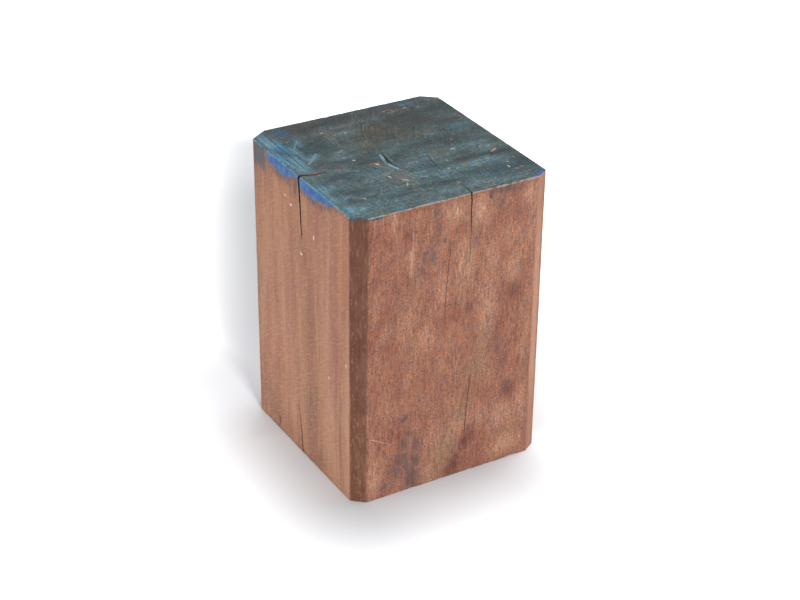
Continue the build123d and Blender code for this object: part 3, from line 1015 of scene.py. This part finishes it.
RAW_STROKES = (
    (1, -75.5, 0.6, -70, -1.3, 0.9), (1, -70, -1.3, -66.7, -3, 1), (1, -66.7, -3, -61.7, -3.9, 0.9),
    (0.9, -61.7, -3.9, -56.7, -3, 0.8), (0.8, -56.5, 0.6, -51.5, 1, 0.7),
    (0.6, -50, 0.4, -41.7, -0.6, 0.6),
)
RAW_ZONE = ((1, -76, 0.5, -56, -3.5, 6),)
CORNER_BLUES = (
    (1, 65.5, -76.6, 74.4, -69.6, 2.6), (0.8, 60, -76.2, 67, -75, 1.5), (0.8, 74, -71, 74.4, -62, 1.1),
    (0.6, -40.6, -75.6, -39.8, -71, 0.8), (0.45, -17.5, -76, -17, -72.5, 0.7),
)
CORNER_WORN = (
    (0.7, 71.5, 70.5, 75, 67, 2.2), (0.6, 64.5, 76, 71, 71.5, 1.8),
)
# Strokes on the front, as (x, z).
PALE_STREAKS = (
    (0.85, -32.8, 187, -32.9, 169, 1.7), (0.75, -31.4, 204, -32, 184, 0.8),
    (0.8, -46.2, 217.5, -46, 204, 1.1), (0.4, -45, 203, -44.4, 194, 0.8),
    (0.65, -54.3, 217, -54, 208, 0.9), (0.55, -17.6, 214, -17.4, 209, 0.8),
    (0.45, -61, 216, -60.4, 204, 0.7), (0.35, 59.5, 214, 60, 170, 1),
)
DRIP_ZONE = ((1, -67, 219, -58, 219, 9),)
PALE_SCRATCHES = (
    (0.85, -63, 51, -58, 48, 0.45), (0.65, -58, 48, -52, 44.6, 0.45), (0.4, -61, 52.5, -59.5, 49, 0.35),
)
FRONT_MARKS = (
    (0.55, -2.6, 186, -4.6, 165, 0.4), (0.7, -4.6, 165, -5.6, 152, 0.45),
    (0.55, -5.6, 152, -6.7, 127, 0.4), (0.75, 15.2, 79, 13.9, 59, 0.45),
    (0.75, 13.9, 59, 12.9, 45, 0.45), (0.75, 12.9, 45, 11.6, 22, 0.45), (0.7, 12.3, 183, 12, 168, 0.4),
    (0.8, 26.4, 214.4, 27.8, 212, 0.8), (0.7, -7.8, 188.8, -6.8, 189.2, 0.9),
    (0.6, -39, 58, -33.5, 61.5, 0.8), (0.55, -32, 62.2, -30.6, 62.8, 0.8),
    (0.55, 18.8, 157.5, 15, 151, 0.4), (0.45, 19.6, 163, 17.4, 158, 0.5),
    (0.45, 8.2, 178, 7.9, 160, 0.3), (0.35, -6.4, 134, -6.8, 112, 0.35), (0.45, 43, 66, 42.6, 60, 0.7),
)
# On the left face, as (y, z).
WHITE_SPECKS = (
    (1, 11.5, 192.8, 12.5, 192.8, 1.2), (0.5, 20, 196.4, 21.4, 196.8, 1.2),
    (0.9, -20.7, 181.4, -20.5, 183.4, 0.9), (1, -3.2, 162, -2.2, 162, 1.2),
    (0.7, -40.7, 83.8, -40.1, 84.4, 1), (0.55, -64.8, 106.2, -64, 106.8, 1),
    (0.3, 18, 96, 18.4, 96.6, 1),
)
LEFT_MARKS = (
    (0.55, 22.5, 196, 19.5, 193.8, 0.6), (0.5, -18.6, 202, -21, 200, 0.7),
    (0.6, 57, 114.4, 55.4, 113.4, 0.8), (0.6, 35, 10.6, 36, 3, 0.7), (0.45, -2.4, 179, -3.2, 166, 0.5),
    (0.35, -3.2, 166, -2, 140, 0.5), (0.4, 4.6, 38, 6.2, 56, 0.45),
)


def block_material():
    """Bare wood and paint, each its own shader, mixed where the paint ends."""
    material = bpy.data.materials.new("hardwood")
    material.use_nodes = True
    t = Tree(material)
    t.nodes.remove(t.nodes["Principled BSDF"])
    place = t.scaled(t.add("ShaderNodeTexCoord", {}, output=3), (1 / MM, 1 / MM, 1 / MM))
    # the fibres wander a little from straight, and the marks' outlines shiver
    bend = t.noise(place, (45, 45, 90), 2.0, colour=True)
    bend = t.scaled(t.moved(bend, (-0.5, -0.5, -0.5)), (9.0, 9.0, 0.0))
    bent = t.moved(place, bend)
    shiver = t.noise(place, (3.0, 3.0, 5.0), 2.0, 0.6, colour=True)
    shiver = t.scaled(t.moved(shiver, (-0.5, -0.5, -0.5)), (1.6, 1.6, 1.6))
    shaken = t.moved(place, shiver)
    on_head, on_front, on_left = t.flat(shaken, 0, 1), t.flat(shaken, 0, 2), t.flat(shaken, 1, 2)
    parts = t.nodes.new("ShaderNodeSeparateXYZ")
    t.feed(parts.inputs[0], place)
    x, y, z = parts.outputs
    below_head = t.less(HEIGHT, z)

    front, planed, head, dark_chamfer, pale_chamfer = t.fields("front planed head dark_chamfer pale_chamfer")
    stain, light, red, brown, blue, olive, dark = t.fields("stain light red brown blue olive dark")

    # paint: rays across, growth rings along, brush marks aslant, specks, clots and clouds
    ray = t.noise(place, (1.5, 9.0, 4.0), 3.0, 0.65, 11.0)
    growth = t.noise(bent, (24, 4.0, 8.0), 3.0, 0.6, 13.0)
    brush = t.noise(t.turned(place, (0.0, 0.0, 0.47)), (1.9, 15.0, 4.0), 3.0, 0.6, 41.0)
    sweep = t.noise(place, (1.8, 30.0, 6.0), 3.0, 0.6, 53.0)
    speck = t.noise(place, (1.7, 1.9, 1.8), 2.0, 0.65, 17.0)
    clot = t.noise(place, (4.0, 3.0, 3.0), 3.0, 0.65, 18.0)
    mottle = t.noise(place, (9.0, 6.0, 8.0), 3.0, 0.6, 31.0)
    cloud = t.noise(place, (26, 16, 20), 3.0, 0.55, 19.0)

    # wood: patterns through the solid, long along the fibres
    fibre = t.noise(bent, (2.2, 2.2, 22), 3.0, 0.6)
    fleck = t.noise(bent, (1.4, 1.4, 5.5), 2.0, 0.6, 3.1)
    thread = t.noise(bent, (0.9, 0.9, 14.0), 2.0, 0.6, 7.7)
    grit = t.noise(place, (1.1, 1.1, 1.4), 2.0, 0.6, 23.0)
    tint = t.noise(bent, (1.4, 1.4, 3.0), 2.0, 0.6, 29.0)
    band = t.noise(bent, (7.0, 5.0, 160), 3.0, 0.55, 1.7)
    sheet = t.noise(bent, (16.0, 13.0, 170), 2.0, 0.5, 2.9)
    patch = t.noise(place, (16, 16, 34), 3.0, 0.55, 5.3)
    hue = t.noise(place, (4.5, 4.5, 5.0), 3.0, 0.6, 37.0)
    growth_band = t.noise(t.turned(bent, (0.0, -0.35, 0.0)), (9, 9, 60), 3.0, 0.55, 9.1)
    orange, teal, pink = t.fields("orange teal pink")

    def sawn_wood():
        """The front and back: rough from the saw, red brown, with pale and dark flecks."""
        ground = t.plus(t.times(growth_band, 0.5), t.times(patch, 0.5))
        colour = t.coats(
            t.between((ground, 0.38, 0.62), (148, 100, 82), (166, 117, 95)),
            (red, 0.95, (145, 88, 72)),
            (olive, front, 0.9, (154, 121, 95)),
            (light, 0.9, (191, 144, 118)),
            (dark, front, 0.95, (104, 70, 62)),
        )
        crowd = t.step(t.plus(patch, t.times(red, 0.2)), 0.34, 0.62, 0.55, 1.0)
        colour = t.grained(colour, (fleck, 0.52, 0.64, crowd, (1.26, 1.18, 1.06), (0.7, 0.71, 0.77)))
        colour = t.tones(
            colour,
            ((fibre, 0.48, 0.34), (0.86, 0.83, 0.83)),
            ((thread, 0.54, 0.66), (1.12, 1.13, 1.13)),
        )
        colour = t.grained(
            colour,
            (clot, 0.54, 0.66, (1.07, 1.06, 1.04), (0.93, 0.93, 0.94)),
            (grit, 0.52, 0.66, (1.3, 1.33, 1.36), (0.69, 0.69, 0.71)),
            (tint, 0.53, 0.67, (0.88, 0.99, 1.2), (1.11, 0.95, 0.77)),
            (hue, 0.53, 0.66, (1.06, 0.98, 0.89), (0.94, 1.01, 1.1)),
        )
        broken = (t.plus(fleck, fibre), 0.86, 1.06, 0.35, 0.8)
        return t.marks(colour, on_front, (PALE_STREAKS, broken, front, (200, 156, 128)))

    def planed_wood():
        """The left and right: planed smooth, paler and pinker, in soft upright bands."""
        colour = t.coats(
            t.between((sheet, 0.38, 0.62), (163, 112, 92), (176, 131, 101)),
            ((band, 0.45, 0.33, 0, 0.6), (144, 100, 86)),
            ((band, 0.55, 0.67, 0, 0.55), (194, 146, 116)),
            ((patch, 0.56, 0.7, 0, 0.25), (186, 142, 118)),
            ((patch, 0.44, 0.32, 0, 0.25), (154, 106, 88)),
            (red, 0.7, (146, 84, 68)),
            (brown, 0.85, (136, 98, 80)),
            # paler wood, and beside the front left chamfer a painted highlight
            (light, 0.6, (200, 154, 128)),
            (orange, 0.75, (190, 128, 84)),
            ((fibre, 0.48, 0.34), 0.32, (128, 88, 74)),
            ((thread, 0.55, 0.68), 0.28, (206, 160, 130)),
        )
        scuff = t.noise(t.turned(place, (-1.01, 0.0, 0.0)), (5.0, 1.5, 9.0), 3.0, 0.65, 27.0)
        colour = t.coats(
            colour,
            ((scuff, 0.53, 0.66, 0, 0.34), (206, 160, 134)),
            ((scuff, 0.47, 0.34, 0, 0.28), (122, 86, 72)),
            ((tint, 0.52, 0.66, 0, 0.4), (164, 132, 126)),
            ((tint, 0.48, 0.34, 0, 0.4), (184, 122, 82)),
            ((grit, 0.47, 0.35, 0, 0.17), (118, 84, 72)),
            ((grit, 0.53, 0.65, 0, 0.14), (206, 162, 138)),
        )
        return t.tones(colour, ((z, 150, 20), (1.09, 1.1, 1.08)))

    def old_wood():
        """The dark chamfers: planed across old wood."""
        colour = t.coats(
            t.between((patch, 0.35, 0.65), (96, 60, 46), (116, 78, 61)),
            ((fleck, 0.54, 0.66), 0.45, (158, 110, 86)),
            ((fibre, 0.5, 0.36), 0.35, (72, 42, 35)),
        )
        colour = t.tones(colour, ((z, 165, 60), (1.19, 1.22, 1.19)))
        return t.coats(colour, ((grit, 0.46, 0.34, 0, 0.35), (72, 46, 42)))

    def fresh_wood():
        """The pale chamfer: a light streak along its front arris, and browner beside it."""
        outward = t.plus(x, y, t.swing(fibre, 8.0), t.swing(clot, 5.0))
        streak = t.amount((outward, 1.5, -3), (z, 30, 70, 0.2, 1), (z, 200, 165, 0.4, 1))
        return t.tones(
            t.blend(streak, rgb(170, 121, 99), rgb(198, 149, 122)),
            ((fleck, 0.48, 0.36), (0.84, 0.83, 0.84)),
            ((grit, 0.53, 0.66), (1.1, 1.11, 1.12)),
        )

    def stained(wood):
        """Stains sit in the fibres, so they break into upright dashes. They turn blue at the back left."""
        broken = t.plus(stain, t.swing(fleck, 3.4), t.swing(fibre, 2.8))
        amount = t.amount((broken, 0.08, 1.05), (stain, 0.03, 0.3), 0.78)
        patchy = t.plus(t.times(clot, 0.5), t.step(y, 30, 50, 0, -0.08))
        on_planed = t.between((patchy, 0.2, 0.27), (40, 88, 104), (110, 84, 70))
        return t.blend(amount, wood, t.blend(planed, rgb(84, 76, 80), on_planed))

    def marked(wood):
        """Scratches and specks, on the two faces that the photo shows."""
        wood = t.marks(
            wood,
            on_front,
            (PALE_SCRATCHES, front, (212, 158, 134)),
            (FRONT_MARKS, front, 0.75, (74, 54, 56)),
        )
        left = t.amount(planed, (x, 10, -10))
        return t.marks(
            wood,
            on_left,
            (WHITE_SPECKS, left, (236, 216, 206)),
            (LEFT_MARKS, left, 0.7, (96, 72, 66)),
        )

    def brushed_paint():
        """The worn coat on the head. Rays show through at the front left, brush marks at the back right."""
        brushed = t.step(t.plus(x, y), -20, 40)
        rayed = t.less(1.0, brushed)
        shade = t.plus(t.times(y, 0.5), t.times(cloud, 90.0))
        colour = t.coats(
            t.between((shade, 20, 75), (57, 77, 79), (39, 52, 52)),
            (teal, 0.88, (20, 60, 72)),
            (olive, 0.85, (58, 54, 43)),
            (t.field("pale"), 0.8, (83, 106, 115)),
            (dark, 0.92, (22, 27, 29)),
            (pink, (clot, 0.4, 0.6, 0.5, 1), 0.65, (106, 92, 86)),
        )
        colour = t.grained(
            colour,
            (tint, 0.53, 0.66, (1.5, 1.0, 0.74), (0.62, 1.02, 1.34)),
            (hue, 0.53, 0.66, (1.34, 1.0, 0.84), (0.74, 1.0, 1.18)),
        )
        colour = t.marks(colour, on_head, (NAVY, (clot, 0.35, 0.6, 0.5, 1), 0.8, (18, 58, 80)))
        colour = t.tones(
            colour,
            ((growth, 0.48, 0.34), (0.72, 0.74, 0.76)),
            ((growth, 0.54, 0.66), (1.24, 1.2, 1.12)),
        )
        return t.grained(
            colour,
            (mottle, 0.53, 0.65, (1.26, 1.25, 1.2), (0.74, 0.75, 0.77)),
            (ray, 0.54, 0.68, rayed, (1.22, 1.34, 1.38), (0.62, 0.64, 0.7)),
            (brush, 0.54, 0.67, brushed, (1.38, 1.34, 1.26), (0.58, 0.62, 0.68)),
            (clot, 0.54, 0.66, (1.34, 1.34, 1.24), (0.62, 0.62, 0.64)),
            (speck, 0.54, 0.68, (1.7, 1.62, 1.5), (0.44, 0.46, 0.5)),
        )

    def swept_paint():
        """Cyan, swept along the left arris in long streaks."""
        colour = t.between((sweep, 0.4, 0.6), (66, 120, 144), (108, 148, 162))
        colour = t.marks(colour, on_head, (AZURE, 0.75, (48, 130, 174)))
        return t.tones(
            colour,
            ((speck, 0.47, 0.34), (0.72, 0.8, 0.86)),
            ((mottle, 0.46, 0.34), (0.8, 0.88, 0.94)),
        )

    def head_paint():
        """All that lies on the head: the coats of paint, then rust, scratches and specks."""
        colour, swept = brushed_paint(), swept_paint()
        covered = (t.plus(sweep, t.times(clot, 0.5)), 0.56, 0.78, 0.55, 1)
        colour = t.blend(t.amount(blue, covered, 0.95), colour, swept)
        colour = t.grained(colour, (grit, 0.52, 0.66, (1.6, 1.56, 1.5), (0.51, 0.52, 0.55)))
        rusty = (t.plus(t.times(clot, 0.25), speck), 0.71, 0.8)
        colour = t.coats(colour, (brown, head, rusty, 0.5, (130, 100, 84)))
        colour = t.marks(
            colour,
            on_head,
            (HEART_RIDGE, (t.plus(ray, speck), 0.86, 1.12, 0.2, 1), (126, 160, 176)),
            (PALE_STROKES, 0.7, (116, 146, 156)),
            (DARK_STROKES, 0.8, (22, 34, 42)),
            (BEIGE_SPECKS, (196, 176, 164)),
            (ORANGE_SPECKS, 0.8, (182, 134, 104)),
        )
        raw_wood = t.between((speck, 0.56, 0.46), (128, 64, 46), (36, 22, 20))
        colour = t.blend(t.strokes(on_head, RAW_STROKES), colour, raw_wood)
        return t.marks(
            colour,
            on_head,
            (CORNER_BLUES, 0.9, (26, 88, 150)),
            (CORNER_WORN, 0.8, (170, 152, 146)),
        )

    def arris_line(from_face, ragged):
        """A ragged line along one arris of the head, given the distance from the face below it."""
        line = t.plus(t.most(below_head, from_face), t.swing(clot, ragged))
        return t.step(line, 1.0, 0.4)

    def drips():
        """Paint that ran over the head's edge, at the front left corner."""
        run_off = t.plus(t.step(below_head, 0, 5, 1, 0), t.swing(fleck, 2.2), t.swing(fibre, 1.2))
        zone = t.most(dark_chamfer, t.times(front, t.strokes(on_front, DRIP_ZONE)))
        return t.amount((run_off, 0.7, 0.86), zone)

    def slopped(wood):
        """Royal blue that ran over the left arris, with a brown and grey fringe below it."""
        slop = t.plus(t.field("slop"), t.swing(clot, 9.0), t.swing(fleck, 3.0))
        royal = t.coats(
            t.between((mottle, 0.42, 0.58), (50, 98, 166), (76, 124, 168)),
            ((clot, 0.56, 0.66, 0, 0.6), (104, 146, 178)),
            ((clot, 0.44, 0.34, 0, 0.6), (48, 84, 124)),
            ((fleck, 0.46, 0.34, 0, 0.5), (74, 88, 106)),
            ((grit, 0.46, 0.36), (below_head, 2, 8), 0.5, (126, 98, 90)),
        )
        fringe = t.amount((slop, -6, -1), (mottle, 0.36, 0.52), 0.72)
        wood = t.blend(fringe, wood, t.between((tint, 0.48, 0.56), (118, 86, 74), (96, 94, 98)))
        return t.blend(t.amount((slop, -1.4, 0.8), 0.94), wood, royal)

    def washed(wood):
        """A thin wash of teal and brown that ran down beside the back left corner."""
        wash = t.plus(below_head, t.swing(fibre, 50.0), t.swing(clot, 18.0))
        wash = t.amount((wash, 20, 11), (y, 46, 53), t.most(planed, t.field("wash")), 0.85)
        thin = t.plus(thread, t.times(clot, 0.5))
        return t.blend(wash, wood, t.between((thin, 0.66, 0.84), (118, 88, 76), (46, 96, 116)))

    wood = t.blend(planed, sawn_wood(), planed_wood())
    wood = t.blend(dark_chamfer, wood, old_wood())
    wood = t.blend(t.times(pale_chamfer, 0.85), wood, fresh_wood())
    wood = marked(stained(wood))
    paint = head_paint()
    # a whitish line along the head's front arris: partly wear, partly painted highlight where the rounded
    # arris meets the light
    worn_and_highlit_line = arris_line(t.plus(y, HALF_Y), 3.6)
    cyan_line = arris_line(t.plus(x, HALF_X), 4.0)
    wood = t.blend(drips(), slopped(wood), rgb(44, 84, 108))
    wood = washed(wood)

    relief = t.plus(
        t.times(fibre, t.plus(t.times(front, 0.22), 0.05)),
        t.times(fleck, t.plus(t.times(front, 0.12), 0.03)),
        t.times(head, t.plus(t.times(ray, 0.1), t.times(growth, 0.12), t.times(speck, 0.12))),
    )
    bump = t.add("ShaderNodeBump", {"Height": relief, "Distance": MM, "Strength": RELIEF_STRENGTH})
    # inside the checks: painted shade, nearly black, but raw red wood near the head's left one
    lip = t.times(t.step(below_head, 1.0, 0.3), t.strokes(on_head, RAW_ZONE))
    inside = t.blend(lip, rgb(18, 11, 10), rgb(96, 46, 34))
    wall = t.field("wall")
    shaders = []
    for colour, rough in ((wood, WOOD_ROUGHNESS), (paint, t.step(cloud, 0.3, 0.7, *PAINT_ROUGHNESS))):
        # the whitish front-arris line is partly wear and partly painted highlight; the cyan line is paint on
        # the left arris
        colour = t.coats(colour, (worn_and_highlit_line, 0.62, (180, 168, 160)), (cyan_line, 0.75, (106, 150, 166)))
        # the check walls take the painted shade
        colour = t.blend(wall, colour, inside)
        inputs = {"Base Color": colour, "Roughness": rough, "Specular IOR Level": SHEEN, "Normal": bump}
        shaders.append(t.add("ShaderNodeBsdfPrincipled", inputs))
    painted = t.step(t.plus(head, t.swing(speck, 0.4)), 0.25, 0.55)
    mixed = t.add("ShaderNodeMixShader", {0: painted, 1: shaders[0], 2: shaders[1]})
    t.feed(t.nodes["Material Output"].inputs[0], mixed)
    return material


SHARP_ANGLE = 0.7  # in radians: arrises and checks stay crisp


def dressed_block():
    """The worn block, with its checks, its material and the numbers that the material reads."""
    points, faces = sharp_block()
    piece = make_object("block_wood", worn(points), faces)
    tidy_normals(piece)
    mark_faces(piece, 0)
    cut_checks(piece)
    piece.data.materials.clear()
    piece.data.materials.append(block_material())
    polygons = piece.data.polygons
    polygons.foreach_set("material_index", np.zeros(len(polygons), np.int32))
    polygons.foreach_set("use_smooth", np.ones(len(polygons), bool))
    piece.data.set_sharp_from_angle(angle=SHARP_ANGLE)
    paint_fields(piece)
    return piece


block = dressed_block()
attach(block, "root")
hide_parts("wood_block")


# ---------------------------------------------------------------- floor, lights and camera

SKY_LEVEL = 0.02
PAPER = (0.774, 0.788, 0.814)
# On the floor, in metres: its half size, the plain paper beside the block, and how that fades to white.
FLOOR_HALF = 6.0
NEAR_X = (-0.067, 0.024)
NEAR_Y = (-0.08, 0.11)
BLOCK_FADE = 0.167
# The shadow falls behind the block: its direction, how far, how wide and how it fades.
SHADOW_RUN = (0.431, 0.903)
SHADOW_REACH = 0.49
SHADOW_HALF = 0.091
SHADOW_FADE = 0.094

# The photo's camera, fitted to the corners of the block: its film and lens in millimetres, its place in
# metres, and its axes.
FILM, LENS = 36.0, 85.34
CAMERA_PLACE = (-0.5934, -1.0085, 0.7633)
CAMERA_RIGHT = (0.86352, -0.50418, 0.0117)
CAMERA_UP = (0.23854, 0.42878, 0.87135)
CAMERA_BACK = (-0.44433, -0.74964, 0.49053)
# Each lamp's name, direction, level and spread in degrees.
LAMPS = (
    ("key", (-0.122, -0.866, 0.485), 0.68, 14),
    ("over", (0.18, 0.104, 0.978), 0.6, 30),
    ("left", (-0.979, 0.173, 0.105), 0.605, 42),
    ("right", (0.979, 0.173, 0.105), 0.3, 42),
    ("back", (0.173, 0.979, 0.105), 0.3, 42),
)


def floor():
    """Pale paper. Away from the block and its shadow it fades to the white of the background."""
    mesh = bpy.data.meshes.new("floor")
    corners = [(x * FLOOR_HALF, y * FLOOR_HALF, 0) for x, y in ((-1, -1), (1, -1), (1, 1), (-1, 1))]
    mesh.from_pydata(corners, [], [(0, 1, 2, 3)])
    piece = bpy.data.objects.new("floor", mesh)
    bpy.context.scene.collection.objects.link(piece)
    paper = bpy.data.materials.new("floor")
    paper.use_nodes = True
    t = Tree(paper)
    t.nodes.clear()
    place = t.add("ShaderNodeTexCoord", {}, output=3)
    x = t.vector("DOT_PRODUCT", place, (1, 0, 0), 1)
    y = t.vector("DOT_PRODUCT", place, (0, 1, 0), 1)
    along = t.vector("DOT_PRODUCT", place, (*SHADOW_RUN, 0), 1)
    beside = t.math("ABSOLUTE", t.vector("DOT_PRODUCT", place, (-SHADOW_RUN[1], SHADOW_RUN[0], 0), 1))

    def beyond(low, high, value):
        return t.most(t.less(low, value), t.less(value, high), 0.0)

    def far(a, b):
        return t.math("POWER", t.plus(t.times(a, a), t.times(b, b)), 0.5)

    from_block = far(beyond(*NEAR_X, x), beyond(*NEAR_Y, y))
    from_shadow = far(beyond(0.0, SHADOW_REACH, along), beyond(0.0, SHADOW_HALF, beside))
    white = t.math("MINIMUM", t.step(from_block, 0.0, BLOCK_FADE), t.step(from_shadow, 0.0, SHADOW_FADE))
    path = t.nodes.new("ShaderNodeLightPath").outputs
    seen = t.most(path["Is Camera Ray"], path["Is Glossy Ray"], path["Is Transmission Ray"])
    matte = t.add("ShaderNodeBsdfDiffuse", {"Color": (*PAPER, 1)})
    glow = t.add("ShaderNodeEmission", {"Color": (1, 1, 1, 1), "Strength": t.times(white, seen)})
    out = t.nodes.new("ShaderNodeOutputMaterial")
    t.feed(out.inputs["Surface"], t.add("ShaderNodeAddShader", {0: matte, 1: glow}))
    mesh.materials.append(paper)


def lamp(name, toward, level, spread):
    """A far, soft lamp. toward points at it; level is the light that it gives a white surface facing it."""
    data = bpy.data.lights.new(name, "SUN")
    data.energy = level * np.pi
    data.angle = np.radians(spread)
    piece = bpy.data.objects.new(name, data)
    piece.rotation_euler = (-Vector(toward)).to_track_quat("-Z", "Y").to_euler()
    bpy.context.scene.collection.objects.link(piece)


def world():
    """A faint light from all round, which the camera sees as white."""
    sky = bpy.data.worlds.new("studio")
    bpy.context.scene.world = sky
    sky.use_nodes = True
    t = Tree(sky)
    path = t.nodes.new("ShaderNodeLightPath").outputs
    seen = t.most(path["Is Camera Ray"], path["Is Glossy Ray"])
    background = t.nodes["Background"].inputs
    t.feed(background["Color"], (1, 1, 1, 1))
    level = t.add("ShaderNodeMapRange", {"Value": seen, "To Min": SKY_LEVEL, "To Max": 1.0})
    t.feed(background["Strength"], level)


def camera():
    data = bpy.data.cameras.new("camera")
    data.lens, data.sensor_width = LENS, FILM
    data.clip_end = 20
    piece = bpy.data.objects.new("camera", data)
    turn = Matrix((CAMERA_RIGHT, CAMERA_UP, CAMERA_BACK)).transposed().to_4x4()
    piece.matrix_world = Matrix.Translation(CAMERA_PLACE) @ turn
    bpy.context.scene.collection.objects.link(piece)
    bpy.context.scene.camera = piece


floor()
world()
for row in LAMPS:
    lamp(*row)
camera()
bpy.context.scene.view_settings.view_transform = "Standard"
